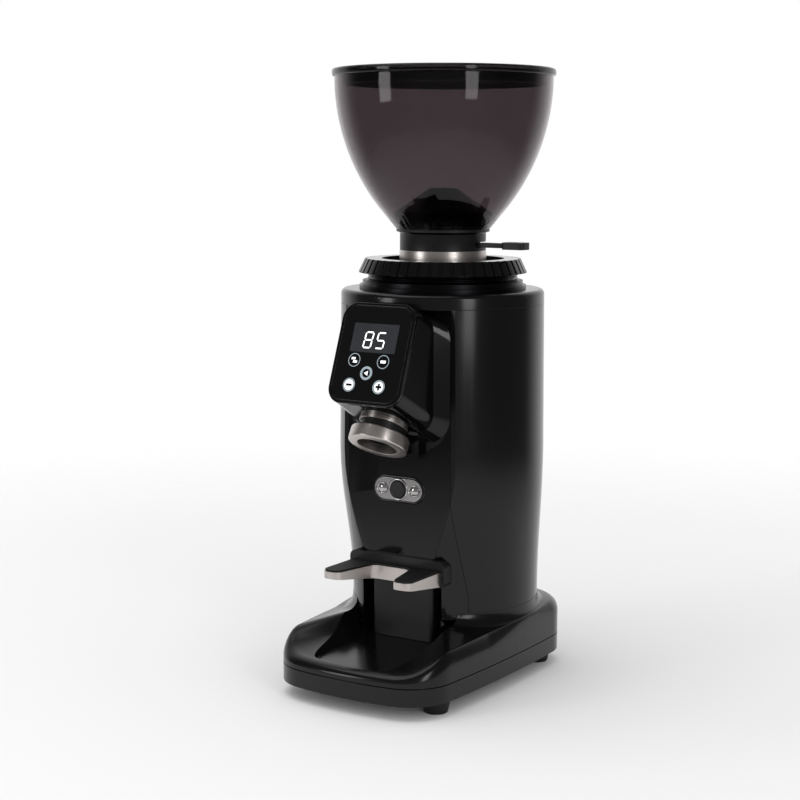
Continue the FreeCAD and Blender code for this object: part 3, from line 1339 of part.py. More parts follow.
def pieces():
    """Every node by name, in the order in which the grinder is put together."""
    column = column_solid(0)
    cavity = casing_cavity()
    return {
        "rubber_feet": rubber_feet(), "foot_screws": foot_screws(), "base_plate": base_plate(),
        "power_board": power_board(), "board_standoffs": board_standoffs(),
        "run_capacitor": run_capacitor(), "capacitor_clip": capacitor_clip(),
        "main_housing": main_housing(column, cavity), "front_cover": front_cover(column, cavity),
        "cord_gland": cord_gland(), "rocker_frame": rocker_frame(), "power_rocker": power_rocker(),
        "fork_post": fork_post(), "fork_bracket": fork_bracket(), "fork": fork(), "fork_pad": fork_pad(),
        "fork_screws": fork_screws(), "switch_plate": switch_plate(), "switch_screws": switch_screws(),
        "push_button": push_button(), "switch_barrel": switch_barrel(), "barrel_nut": barrel_nut(),
        "head_base": head_base(), "head_shell": head_shell(), "panel_bezel": panel_bezel(),
        "touch_glass": touch_glass(), "display_module": display_module(), "control_board": control_board(),
        "chute_tube": chute_tube(), "spout_sleeve": spout_sleeve(), "outlet_ring": outlet_ring(),
        "motor_lower_bell": motor_lower_bell(), "lower_bearing": lower_bearing(),
        "stator_core": stator_core(), "stator_windings": stator_windings(), "rotor_core": rotor_core(),
        "drive_shaft": drive_shaft(), "cooling_fan": cooling_fan(), "motor_upper_bell": motor_upper_bell(),
        "upper_bearing": upper_bearing(), "motor_bolts": motor_bolts(0), "top_cover": top_cover(),
        "grinding_chamber": grinding_chamber(),
        "lower_burr_carrier": lower_burr_carrier(), "lower_burr": lower_burr(),
        "lower_burr_screws": lower_burr_screws(), "cap_nut": cap_nut(), "upper_burr": upper_burr(),
        "upper_burr_screws": upper_burr_screws(), "upper_burr_carrier": upper_burr_carrier(),
        "throat_collar": throat_collar(), "adjusting_ring": adjusting_ring(), "hopper_bowl": hopper_bowl(),
        "gate_body": gate_body(), "gate_shutter": gate_shutter(), "guard_cone": guard_cone(),
        "hopper_lid": hopper_lid(),
    }


def main():
    """Write each node with the origin under the middle of the grinder, on the table."""
    os.makedirs("parts", exist_ok=True)
    to_middle = Vec(0, (BASE_FRONT - BASE_REAR) / 2, 0)
    for name, shape in pieces().items():
        solid = Part.makeCompound(shape) if isinstance(shape, list) else shape
        solid.translated(to_middle).exportStep("parts/" + name + ".step")


main()
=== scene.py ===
import json
import math

import bmesh
import bpy
import numpy as np
from mathutils import Matrix, Vector, geometry

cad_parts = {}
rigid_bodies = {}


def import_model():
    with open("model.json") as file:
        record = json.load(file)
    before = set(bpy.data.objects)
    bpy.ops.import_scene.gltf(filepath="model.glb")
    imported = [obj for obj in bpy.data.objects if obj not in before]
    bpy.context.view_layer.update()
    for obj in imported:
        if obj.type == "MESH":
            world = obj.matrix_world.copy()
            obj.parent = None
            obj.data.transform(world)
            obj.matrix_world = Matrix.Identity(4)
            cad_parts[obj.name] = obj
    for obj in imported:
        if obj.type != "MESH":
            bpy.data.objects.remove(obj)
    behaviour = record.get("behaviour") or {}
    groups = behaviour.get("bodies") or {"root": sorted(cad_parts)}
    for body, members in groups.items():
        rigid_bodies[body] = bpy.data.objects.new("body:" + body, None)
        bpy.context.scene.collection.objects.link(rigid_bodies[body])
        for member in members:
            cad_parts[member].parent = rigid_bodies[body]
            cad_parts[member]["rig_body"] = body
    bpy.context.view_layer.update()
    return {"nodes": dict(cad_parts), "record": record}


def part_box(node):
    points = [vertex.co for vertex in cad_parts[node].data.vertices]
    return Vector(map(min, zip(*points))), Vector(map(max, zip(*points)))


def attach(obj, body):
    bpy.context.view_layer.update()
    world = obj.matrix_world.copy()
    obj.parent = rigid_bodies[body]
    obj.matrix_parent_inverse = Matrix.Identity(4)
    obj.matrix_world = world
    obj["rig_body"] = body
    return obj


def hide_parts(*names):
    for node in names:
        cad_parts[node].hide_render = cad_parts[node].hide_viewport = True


# Looks of a burr coffee grinder. Sizes are millimetres unless a name or docstring says otherwise,
# and places on the grinder are measured from the column's axis, as in the part's source.

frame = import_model()

MM = 0.001
AXIS_Y = (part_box("drive_shaft")[0].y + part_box("drive_shaft")[1].y) / 2
BODY_OF = {node: piece["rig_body"] for node, piece in frame["nodes"].items()}
SLOT_OF = {row["node"]: row["material_slot"] for row in frame["record"]["subparts"]}


def metres(points):
    """Millimetres from the column's axis, as an array of metres in the shared frame."""
    return np.asarray(points, float) * MM + np.array([0.0, AXIS_Y, 0.0])


def box_mm(node):
    """Low and high corner of a node's box, in millimetres of the shared frame."""
    return (np.array(corner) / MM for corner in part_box(node))


# Finishes

# Sockets of a Mix node that mixes colours
MIX_SHARE, MIX_FROM, MIX_TO, MIX_RESULT = 0, 6, 7, 2


def linear(code):
    """Linear colour of an sRGB hex code.

    A channel c is c / 12.92 up to 0.04045, and ((c + 0.055) / 1.055) ** 2.4 above it.
    """
    shares = np.array([int(code[start:start + 2], 16) for start in (1, 3, 5)]) / 255
    bright = ((shares + 0.055) / 1.055) ** 2.4
    return (*np.where(shares <= 0.04045, shares / 12.92, bright), 1.0)


def per_mm(size):
    """Texture scale at which one cell of a pattern is so many millimetres wide."""
    return 1 / (size * MM)


def add(tree, kind, settings=None, links=None):
    """Add a node, set its properties and input values, and connect its inputs."""
    node = tree.nodes.new(kind)
    for key, value in (settings or {}).items():
        if isinstance(key, int) or key in node.inputs:
            node.inputs[key].default_value = value
        else:
            setattr(node, key, value)
    for key, socket in (links or {}).items():
        tree.links.new(socket, node.inputs[key])
    return node


def blank(name):
    """New material with an empty tree; returns both."""
    made = bpy.data.materials.new(name)
    made.use_nodes = True
    made.node_tree.nodes.clear()
    return made, made.node_tree


def finish(name, settings):
    """New material with a Principled shader; returns the material, its tree and the shader."""
    made, tree = blank(name)
    shader = add(tree, "ShaderNodeBsdfPrincipled", settings)
    add(tree, "ShaderNodeOutputMaterial", {}, {"Surface": shader.outputs["BSDF"]})
    return made, tree, shader


def own_place(tree):
    """Socket with the piece's own coordinates."""
    return add(tree, "ShaderNodeTexCoord").outputs["Object"]


def grain(tree, size, detail, place=None):
    """Noise with cells of so many millimetres, in the piece's own coordinates or those given."""
    place = own_place(tree) if place is None else place
    settings = {"Scale": per_mm(size), "Detail": detail}
    return add(tree, "ShaderNodeTexNoise", settings, {"Vector": place}).outputs["Fac"]


def wander(tree, share, socket, low, high):
    """Let one value of a shader wander between two limits with a texture."""
    value = add(tree, "ShaderNodeMapRange", {"To Min": low, "To Max": high}, {"Value": share})
    tree.links.new(value.outputs["Result"], socket)


def emboss(tree, share, shader, strength, depth):
    """Relief so many millimetres deep from a texture."""
    settings = {"Strength": strength, "Distance": depth * MM}
    bump = add(tree, "ShaderNodeBump", settings, {"Height": share})
    tree.links.new(bump.outputs["Normal"], shader.inputs["Normal"])


def tint(tree, share, shader, dark, pale):
    """Colour that wanders between two sRGB codes with a texture."""
    settings = {"data_type": "RGBA", MIX_FROM: linear(dark), MIX_TO: linear(pale)}
    tone = add(tree, "ShaderNodeMix", settings, {MIX_SHARE: share})
    tree.links.new(tone.outputs[MIX_RESULT], shader.inputs["Base Color"])


def stoved_enamel():
    """Stoved black enamel on cast metal: a deep black under gloss, with sprayed paint's skin."""
    settings = {"Base Color": linear("#0a0a0b"), "IOR": 1.38}
    made, tree, shader = finish("stoved black enamel", settings)
    wander(tree, grain(tree, size=60, detail=2.0), shader.inputs["Roughness"], low=0.13, high=0.22)
    emboss(tree, grain(tree, size=7, detail=1.0), shader, strength=0.05, depth=0.1)
    return made


def moulded_abs():
    """High-gloss black ABS from a polished mould: mirror-like, with faint waves in its walls."""
    settings = {"Base Color": linear("#070708"), "IOR": 1.38}
    made, tree, shader = finish("gloss black ABS", settings)
    wander(tree, grain(tree, size=45, detail=1.0), shader.inputs["Roughness"], low=0.07, high=0.14)
    emboss(tree, grain(tree, size=28, detail=0.0), shader, strength=0.04, depth=0.2)
    return made


def filled_nylon():
    """Glass-filled black nylon from a sparked mould: satin, finely grained, paler where rubbed."""
    made, tree, shader = finish("glass-filled black nylon", {"Specular IOR Level": 0.4})
    rubbed = add(tree, "ShaderNodeMapRange", {"From Min": 0.35, "From Max": 0.7},
                 {"Value": grain(tree, size=14, detail=2.0)})
    tint(tree, rubbed.outputs["Result"], shader, "#0b0b0c", "#121213")
    spark = grain(tree, size=0.7, detail=3.0)
    wander(tree, spark, shader.inputs["Roughness"], low=0.36, high=0.5)
    emboss(tree, spark, shader, strength=0.12, depth=0.08)
    return made


def smoked_plastic(name, code):
    """Smoked clear polycarbonate: dark and faintly warm through its walls, glossy outside."""
    settings = {"Base Color": linear(code), "Transmission Weight": 1.0, "IOR": 1.3}
    made, tree, shader = finish(name, settings)
    wander(tree, grain(tree, size=50, detail=1.0), shader.inputs["Roughness"], low=0.03, high=0.08)
    return made


def satin_nickel(name, tilt):
    """Turned metal with a satin nickel plate: warm silver, with fine lathe lines round its axis."""
    made, tree, shader = finish(name, {"Base Color": linear("#c4bdb9"), "Metallic": 1.0})
    lathe = add(tree, "ShaderNodeMapping",
                {"Rotation": (tilt, 0.0, 0.0), "Scale": (0.02, 0.02, 1.0)},
                {"Vector": own_place(tree)})
    lines = grain(tree, size=0.35, detail=2.0, place=lathe.outputs["Vector"])
    wander(tree, lines, shader.inputs["Roughness"], low=0.24, high=0.4)
    emboss(tree, lines, shader, strength=0.1, depth=0.03)
    return made


def satin_chrome():
    """Chromium plate on a blasted die casting: cool silver, soft, polished in places by wear."""
    settings = {"Base Color": linear("#b4b1b1"), "Metallic": 1.0}
    made, tree, shader = finish("satin chrome", settings)
    wander(tree, grain(tree, size=5, detail=4.0), shader.inputs["Roughness"], low=0.14, high=0.22)
    return made


def soft_rubber():
    """Moulded nitrile rubber: dull black with a dusty grain."""
    settings = {"Specular IOR Level": 0.3, "Roughness": 0.62}
    made, tree, shader = finish("nitrile rubber", settings)
    dust = grain(tree, size=3, detail=5.0)
    tint(tree, dust, shader, "#0d0d0d", "#171717")
    emboss(tree, dust, shader, strength=0.2, depth=0.1)
    return made


def backed_glass():
    """Toughened glass, printed black behind: the deepest black, with a sharp reflection."""
    settings = {"Base Color": linear("#040405"), "IOR": 1.52}
    made, tree, shader = finish("black-backed glass", settings)
    wander(tree, grain(tree, size=18, detail=3.0), shader.inputs["Roughness"], low=0.03, high=0.1)
    return made


def display_film():
    """Grey filter film over the digits: a soft dark grey, a little cloudy."""
    settings = {"Roughness": 0.3, "Specular IOR Level": 0.3}
    made, tree, shader = finish("display filter film", settings)
    tint(tree, grain(tree, size=12, detail=2.0), shader, "#25272a", "#2f3135")
    return made


def lit_white(name, code, glow):
    """Lit print under glass: white from behind, a little uneven across each mark."""
    colour = linear(code)
    settings = {"Base Color": colour, "Emission Color": colour, "Roughness": 0.4}
    made, tree, shader = finish(name, settings)
    strength = shader.inputs["Emission Strength"]
    wander(tree, grain(tree, size=4, detail=1.0), strength, low=0.85 * glow, high=1.1 * glow)
    return made


def machined_metal(name, code, line, smooth, coarse):
    """Machined metal: bare colour with tool marks so far apart, so highlights break up."""
    made, tree, shader = finish(name, {"Base Color": linear(code), "Metallic": 1.0})
    marks = grain(tree, size=line, detail=3.0)
    wander(tree, marks, shader.inputs["Roughness"], low=smooth, high=coarse)
    emboss(tree, marks, shader, strength=0.1, depth=0.04)
    return made


def board_laminate():
    """Glass-epoxy circuit board under solder mask: dark green with the weave just showing."""
    made, tree, shader = finish("solder-masked laminate", {"Roughness": 0.35})
    weave = add(tree, "ShaderNodeTexVoronoi", {"Scale": per_mm(2.5)}, {"Vector": own_place(tree)})
    tint(tree, weave.outputs["Distance"], shader, "#123d26", "#1b5234")
    return made


SPOUT_TILT = math.radians(30)

ENAMEL = stoved_enamel()
ABS = moulded_abs()
NYLON = filled_nylon()
SMOKED = smoked_plastic("smoked polycarbonate", "#7d7377")
SMOKED_THICK = smoked_plastic("thick smoked polycarbonate", "#2c292a")
RUBBER = soft_rubber()
GLASS = backed_glass()
CHROME = satin_chrome()
NICKEL = satin_nickel("satin nickel", 0.0)
SPOUT_NICKEL = satin_nickel("satin nickel on the spout", SPOUT_TILT)
FILM = display_film()
DIGIT_LIGHT = lit_white("lit digits", "#ffffff", 1.0)
KEY_LIGHT = lit_white("lit key marks", "#f4f6f7", 0.55)
KEY_RING = lit_white("lit key rings", "#8f9ca3", 0.25)
STEEL = machined_metal("ground tool steel", "#a3a3a6", 0.8, 0.25, 0.4)
ALUMINIUM = machined_metal("cast aluminium", "#b4b5b8", 1.5, 0.35, 0.5)
ANODISED = machined_metal("black anodised aluminium", "#1a1a1c", 0.9, 0.25, 0.36)
COPPER = machined_metal("enamelled copper wire", "#b06a3c", 1.0, 0.3, 0.45)
LAMINATE = board_laminate()

FINISHES = {
    "casing_paint": ENAMEL, "gloss_black": ABS, "satin_black": NYLON, "black_anodised": ANODISED,
    "smoked_clear": SMOKED, "screen_glass": GLASS, "satin_nickel": NICKEL, "chrome": CHROME,
    "rubber": RUBBER, "steel": STEEL, "aluminium": ALUMINIUM, "copper": COPPER,
    "circuit": LAMINATE,
}


# Pieces

MERGE_GAP = 0.002
FLAT_TURN = math.radians(0.5)
EDGE_SEGMENTS = 3


def put(piece, body, material):
    """Give a new piece its finish and let it ride on its body."""
    bpy.context.scene.collection.objects.link(piece)
    piece.data.materials.clear()
    piece.data.materials.append(material)
    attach(piece, body)
    return piece


def round_edges(piece, edge, crease):
    """Round every edge that turns by more than the crease angle by so many millimetres."""
    rounding = piece.modifiers.new("edges", "BEVEL")
    rounding.width = edge * MM
    rounding.segments = EDGE_SEGMENTS
    rounding.limit_method = "ANGLE"
    rounding.angle_limit = math.radians(crease)
    rounding.harden_normals = True


def triangles(node):
    """Corners of a solid's triangles, each three by three, in millimetres from the axis."""
    source = frame["nodes"][node].data
    places = np.empty(3 * len(source.vertices), np.float32)
    source.vertices.foreach_get("co", places)
    corners = np.empty(len(source.loops), np.int32)
    source.loops.foreach_get("vertex_index", corners)
    corners = places.reshape(-1, 3)[corners].reshape(-1, 3, 3)
    return (corners - np.array([0.0, AXIS_Y, 0.0])) / MM


def skin(node, material, edge=0.0, crease=30.0, left_out=None):
    """Copy of a solid's surface with flat faces joined and curved faces shaded smooth.

    Every edge that turns by more than the crease angle is rounded by so many millimetres. A
    triangle whose middle passes the test left_out isn't copied, because another piece stands
    there.
    """
    form = bmesh.new()
    if left_out:
        corners = triangles(node)
        corners = corners[~left_out(*corners.mean(axis=1).T)]
        faces = np.arange(3 * len(corners)).reshape(-1, 3)
        shell = bpy.data.meshes.new(node + "_kept")
        shell.from_pydata(metres(corners.reshape(-1, 3)), [], faces)
        form.from_mesh(shell)
        bpy.data.meshes.remove(shell)
    else:
        form.from_mesh(frame["nodes"][node].data)
    bmesh.ops.remove_doubles(form, verts=form.verts, dist=MERGE_GAP * MM)
    bmesh.ops.dissolve_limit(form, angle_limit=FLAT_TURN, verts=form.verts, edges=form.edges)
    mesh = bpy.data.meshes.new(node + "_skin")
    form.to_mesh(mesh)
    form.free()
    mesh.shade_smooth()
    mesh.set_sharp_from_angle(angle=math.radians(crease))
    piece = bpy.data.objects.new(node + "_skin", mesh)
    if edge:
        round_edges(piece, edge, crease)
    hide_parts(node)
    return put(piece, BODY_OF[node], material)


def grid_mesh(name, points, wrap_rows, wrap_columns):
    """Mesh over a grid of points, rows by columns by 3.

    A wrapped direction joins its last line to its first.
    """
    rows, columns = points.shape[:2]
    index = np.arange(rows * columns).reshape(rows, columns)
    index = np.concatenate([index, index[:1]]) if wrap_rows else index
    index = np.concatenate([index, index[:, :1]], axis=1) if wrap_columns else index
    corners = [index[:-1, :-1], index[:-1, 1:], index[1:, 1:], index[1:, :-1]]
    mesh = bpy.data.meshes.new(name)
    mesh.from_pydata(points.reshape(-1, 3), [], np.stack(corners, axis=-1).reshape(-1, 4))
    mesh.shade_smooth()
    return mesh


def full_turn(count):
    """Angles of so many even steps round a circle."""
    return np.linspace(0, 2 * np.pi, count, endpoint=False)


for node, piece in frame["nodes"].items():
    piece.data.materials.clear()
    piece.data.materials.append(FINISHES[SLOT_OF[node]])

SOFT_EDGES = {
    "front_cover": 0.6, "base_plate": 0.5, "top_cover": 0.4, "head_base": 0.6, "head_shell": 0.8,
    "panel_bezel": 0.6, "touch_glass": 0.25, "fork_post": 0.5, "fork_bracket": 0.6, "fork": 1.0,
    "fork_pad": 0.35, "switch_plate": 1.0, "push_button": 0.0, "grinding_chamber": 0.25,
    "throat_collar": 0.3, "gate_body": 0.2, "gate_shutter": 0.5, "rubber_feet": 0.5,
    "cord_gland": 0.4, "rocker_frame": 0.4, "power_rocker": 0.5, "chute_tube": 0.2,
}
SPOUT_EDGE = 0.3
RING_EDGE = 0.7
for node, edge in SOFT_EDGES.items():
    skin(node, FINISHES[SLOT_OF[node]], edge)
for node in ("outlet_ring", "spout_sleeve"):
    skin(node, SPOUT_NICKEL, SPOUT_EDGE)
skin("adjusting_ring", ABS, RING_EDGE)
skin("hopper_lid", SMOKED_THICK)


# Base

PLATE_TOP = 24.8
PLATE_GROOVE = 0.6
BASE_FRONT = 144.0
COLUMN_FOOT_R = 74.8
FOOT_LEAN = 6.7
HOUSING_EDGE = 1.2

RIM_LEVEL = 38.4
RIM_SLOPE = 0.073
RIM_ROUND = 10.0
RIM_SHARE = 0.56
LIP_SHARE = 0.18
LIP_DIP_L = 35.0
FENDER_SLOPE = 0.15
FLARE_TOP = 62.0
FLARE_R = 14.0
FLARE_GAP = 0.2
BEND_SHARE = 0.45

RECESS_X = 38.0
RECESS_FRONT = 132.0
RECESS_REAR = 40.0
RECESS_BOW = 5.0
RECESS_SQUARENESS = 9.0
RECESS_DRAFT = 0.5
RECESS_FLOOR = 31.2
RECESS_FALL = math.tan(math.radians(4.5))
RECESS_SPARE = 0.2
LIP_LEAST = 4.0
WALL_SINK = 0.5
COLUMN_LAP = 3.0

FLOOR_LAP = 6.0
LAP_LEAST = 0.3
LAP_START = 100.0
LAP_RUN = 20.0
LAP_SINK = 0.05

SKIN_MARGIN = 0.5
COLUMN_MARGIN = 0.1
HULL_DIGITS = 3
TINY = 1e-9
EDGE_SPARE = 1e-6

SWEEP_RAYS = 360
BEND_ROWS = 14
FENDER_ROWS = 9
WALL_ROWS = 5
MOUTH_PASSES = 4
SWEEP_EDGE = 0.7
SWEEP_CREASE = 40.0


def recess_floor(y):
    """Height of the recess floor, which falls evenly towards the front."""
    return RECESS_FLOOR + RECESS_FALL * (y + RECESS_FRONT)


def in_recess(x, y):
    """True over the recess floor, whose front edge bows back towards its corners."""
    front = RECESS_FRONT + RECESS_SPARE - RECESS_BOW * (x / RECESS_X) ** 2
    return (np.abs(x) < RECESS_X + RECESS_SPARE) & (y < -RECESS_REAR) & (y > -front)


def base_upper(x, y, z):
    """True on the skin of the base's upper half that the sweep shows.

    This lies below the flare's top, off the column and off the recess floor.
    """
    high = (z > PLATE_TOP + SKIN_MARGIN) & (z < FLARE_TOP)
    off_column = np.hypot(x, y - FOOT_LEAN) > COLUMN_FOOT_R + COLUMN_MARGIN
    corner_wall = (y < -LAP_START) & (z > recess_floor(y) + SKIN_MARGIN)
    return high & off_column & (corner_wall | ~in_recess(x, y))


def base_outline(way_x, way_y):
    """Distance from the foot's axis to the base plate's convex outline along each direction.

    A ray from the axis meets the hull edge p + s e where t = (p x e) / (u x e), and the far edge
    is the outline.
    """
    flat = triangles("base_plate").reshape(-1, 3)[:, :2].round(HULL_DIGITS)
    flat = np.unique(flat, axis=0) - np.array([0.0, FOOT_LEAN])
    hull = flat[geometry.convex_hull_2d(flat.tolist())]
    along = np.roll(hull, -1, axis=0) - hull
    turning = way_x[:, None] * along[:, 1] - way_y[:, None] * along[:, 0]
    turning = np.where(np.abs(turning) < TINY, TINY, turning)
    far = (hull[:, 0] * along[:, 1] - hull[:, 1] * along[:, 0]) / turning
    met = (far[..., None] * np.stack([way_x, way_y], axis=-1)[:, None] - hull) * along
    share = met.sum(axis=-1) / (along ** 2).sum(axis=-1)
    on_edge = (share > -EDGE_SPARE) & (share < 1 + EDGE_SPARE) & (far > 0)
    return np.where(on_edge, far, 0).max(axis=1)


def base_sweep():
    """Upper skin of the base: on each ray from the foot's axis a wall, a rim, a fender and a flare.

    The rim's quarter ellipse has height b sin a over width w (1 - cos a), the fender rises evenly
    inwards, and the flare is a quarter ellipse that turns up into the column. Rays that cross the
    recess stop at its mouth, go down its wall and end in a lap under its floor. The mouth follows
    the superellipse |x / a|^n + |y / b|^n = 1, widened by the draft.
    """
    turn = np.linspace(-np.pi / 2, 1.5 * np.pi, SWEEP_RAYS, endpoint=False)
    way_x, way_y = np.cos(turn), np.sin(turn)
    outer = base_outline(way_x, way_y)
    edge_y = FOOT_LEAN + outer * way_y
    depth = outer - COLUMN_FOOT_R - FLARE_GAP
    rim = RIM_LEVEL + RIM_SLOPE * edge_y
    dip = np.clip((edge_y + BASE_FRONT) / LIP_DIP_L, 0, 1)
    rim_share = LIP_SHARE + (RIM_SHARE - LIP_SHARE) * (1 - np.cos(np.pi * dip)) / 2
    bend_h = rim_share * (FLARE_TOP - rim)
    bend_w = np.minimum(RIM_ROUND, BEND_SHARE * depth)
    flare_w = np.minimum(FLARE_R, BEND_SHARE * depth)
    fender_w = depth - bend_w - flare_w
    foot = rim + bend_h + FENDER_SLOPE * fender_w

    def height(inset):
        """Height of the skin so far in from the outline."""
        bend = rim + bend_h * np.sqrt(1 - (1 - np.clip(inset / bend_w, 0, 1)) ** 2)
        fender = FENDER_SLOPE * np.clip(inset - bend_w, 0, fender_w)
        rise = np.clip((inset - depth + flare_w) / flare_w, 0, 1)
        flare = FLARE_TOP + (foot - FLARE_TOP) * np.sqrt(1 - rise ** 2)
        return np.where(rise > 0, flare, bend + fender)

    def floor_under(reach):
        """Height of the recess floor so far along each ray."""
        return recess_floor(FOOT_LEAN + reach * way_y)

    def recess_reach(spread):
        """Distance from the foot's axis to the recess wall, widened by a spread; 0 to the rear."""
        half = RECESS_X + spread
        front = RECESS_FRONT + spread + FOOT_LEAN
        power = RECESS_SQUARENESS
        sides = (np.abs(way_x) / half) ** power + (np.abs(way_y) / front) ** power
        return np.where(way_y < 0, sides ** (-1 / power), 0.0)

    mouth = np.minimum(recess_reach(0.0), outer - LIP_LEAST)
    for _ in range(MOUTH_PASSES):
        drop = np.maximum(height(outer - mouth) - floor_under(mouth), 0)
        mouth = np.minimum(recess_reach(RECESS_DRAFT * drop), outer - LIP_LEAST)
    crossed = outer - mouth < depth
    end = np.where(crossed, outer - mouth, depth)

    quarter = np.linspace(0, np.pi / 2, BEND_ROWS)[:, None]
    bend = np.minimum(bend_w * (1 - np.cos(quarter)), end)
    middle = np.maximum(np.minimum(depth - flare_w, end), bend_w)
    fender = bend_w + (middle - bend_w) * np.linspace(0, 1, FENDER_ROWS)[1:, None]
    flare = np.minimum(depth - flare_w + flare_w * np.sin(quarter), end)[1:]
    inset = np.vstack([np.zeros(SWEEP_RAYS), bend, fender, flare])
    level = np.vstack([np.full(SWEEP_RAYS, PLATE_TOP + PLATE_GROOVE), height(inset[1:])])

    low = np.where(crossed, outer - recess_reach(0.0) + WALL_SINK, depth + COLUMN_LAP)
    low_level = np.where(crossed, floor_under(mouth) - WALL_SINK, level[-1])
    lap = low + LAP_LEAST + FLOOR_LAP * np.clip(-(edge_y + LAP_START) / LAP_RUN, 0, 1)
    lap_level = np.where(crossed, floor_under(outer - lap) - LAP_SINK, low_level)
    share = np.linspace(0, 1, WALL_ROWS)[1:, None]
    inset = np.vstack([inset, inset[-1] + (low - inset[-1]) * share, lap])
    level = np.vstack([level, level[-1] + (low_level - level[-1]) * share, lap_level])

    reach = outer - inset
    points = metres(np.stack([reach * way_x, FOOT_LEAN + reach * way_y, level], axis=-1))
    mesh = grid_mesh("base_sweep", points[::-1], False, True)
    mesh.set_sharp_from_angle(angle=math.radians(SWEEP_CREASE))
    piece = bpy.data.objects.new("base_sweep", mesh)
    round_edges(piece, SWEEP_EDGE, SWEEP_CREASE)
    put(piece, "casing", ENAMEL)


skin("main_housing", ENAMEL, HOUSING_EDGE, left_out=base_upper)
base_sweep()


# Hopper bowl, clear above its black neck

BOWL_BOTTOM = 352.5

bowl = skin("hopper_bowl", SMOKED)
bowl.data.materials.append(NYLON)
middles = np.empty(3 * len(bowl.data.polygons), np.float32)
bowl.data.polygons.foreach_get("center", middles)
in_neck = (middles[2::3] < BOWL_BOTTOM * MM).astype(np.int32)
bowl.data.polygons.foreach_set("material_index", in_neck)


# Dosing switch and finger guard

BUTTON_LOW, BUTTON_HIGH = box_mm("push_button")
BUTTON_MIDDLE = (BUTTON_LOW + BUTTON_HIGH) / 2
BUTTON_RING_OUT = 1.1
BUTTON_RING_R = (BUTTON_HIGH[0] - BUTTON_LOW[0]) / 2 + BUTTON_RING_OUT
BUTTON_RING_THICK = 0.9
BUTTON_RING_STEPS = (72, 16)

SWITCH_LOW, SWITCH_HIGH = box_mm("switch_plate")
SWITCH_MIDDLE = (SWITCH_LOW + SWITCH_HIGH) / 2
SWITCH_FRONT = SWITCH_LOW[1]
SWITCH_R = (SWITCH_HIGH[2] - SWITCH_LOW[2]) / 2
SWITCH_STRAIGHT = (SWITCH_HIGH[0] - SWITCH_LOW[0]) / 2 - SWITCH_R
GASKET_OUT = 1.0
GASKET_BACK = 1.6
GASKET_THICK = 1.3
GASKET_STEPS = (96, 14)

SCREW_X = 14.3
SCREW_R = 3.5
SCREW_RISE = 1.1
SCREW_PROUD = 0.5
SCREW_EYE = 0.02
SEAT_SHARE = 0.3
SEAT_DEPTH = 0.45
SCREW_ROWS = 18
SCREW_COLUMNS = 40

CONE_PROFILE = np.array([
    [0.05, 388.4], [10.5, 388.2], [12.5, 387.2], [36.0, 371.0], [38.0, 369.8], [38.5, 368.6],
    [38.5, 365.6], [37.6, 364.7], [37.2, 358.0], [36.7, 354.0]])
CONE_SIDES = 8
CONE_COLUMNS = 96
CONE_ROUND_BELOW = 370.0
CONE_BLEND = 8.0
CONE_CREASE = 24.0


def bead(middle, straight, radius, thick, face, counts):
    """Bead in an upright face: a circle of radius t carried round a stadium.

    The stadium has half length a and radius r; the counts are steps along it and round the bead.
    """
    turn = full_turn(counts[0])[:, None]
    roll = full_turn(counts[1])[None, :]
    reach = radius + thick * np.cos(roll)
    across = middle[0] + straight * np.sign(np.cos(turn)) + reach * np.cos(turn)
    up = middle[2] + reach * np.sin(turn)
    out = face - thick * np.sin(roll) + 0 * turn
    return np.stack([across, out, up], axis=-1) * MM


def button_ring():
    """Raised ring round the button: a bead in the plate's face with no straight part."""
    points = bead(BUTTON_MIDDLE, 0.0, BUTTON_RING_R, BUTTON_RING_THICK, SWITCH_FRONT,
                  BUTTON_RING_STEPS)
    mesh = grid_mesh("button_ring", points, True, True)
    put(bpy.data.objects.new("button_ring", mesh), "casing", CHROME)


def screw_domes():
    """Two domed screw heads in dished seats.

    The rise is h (1 - (r / R)^2) inside R, and a groove of half a sine wave outside it.
    """
    turn = full_turn(SCREW_COLUMNS)[None, :]
    share = np.linspace(SCREW_EYE, 1 + SEAT_SHARE, SCREW_ROWS)[:, None]
    seat = -SEAT_DEPTH * np.sin(np.pi * (share - 1) / SEAT_SHARE)
    rise = np.where(share < 1, SCREW_RISE * (1 - share ** 2), seat)
    for side, offset in (("left", -SCREW_X), ("right", SCREW_X)):
        across = BUTTON_MIDDLE[0] + offset + SCREW_R * share * np.cos(turn)
        up = BUTTON_MIDDLE[2] + SCREW_R * share * np.sin(turn)
        out = SWITCH_FRONT - SCREW_PROUD - rise + 0 * turn
        points = np.stack([across, out, up], axis=-1) * MM
        mesh = grid_mesh(f"screw_dome_{side}", points[::-1], False, True)
        put(bpy.data.objects.new(f"screw_dome_{side}", mesh), "casing", CHROME)


def plate_gasket():
    """Black seat round the switch plate: a bead along the plate's outline, behind its face."""
    points = bead(SWITCH_MIDDLE, SWITCH_STRAIGHT, SWITCH_R + GASKET_OUT, GASKET_THICK,
                  SWITCH_FRONT + GASKET_BACK, GASKET_STEPS)
    mesh = grid_mesh("plate_gasket", points, True, True)
    put(bpy.data.objects.new("plate_gasket", mesh), "casing", ABS)


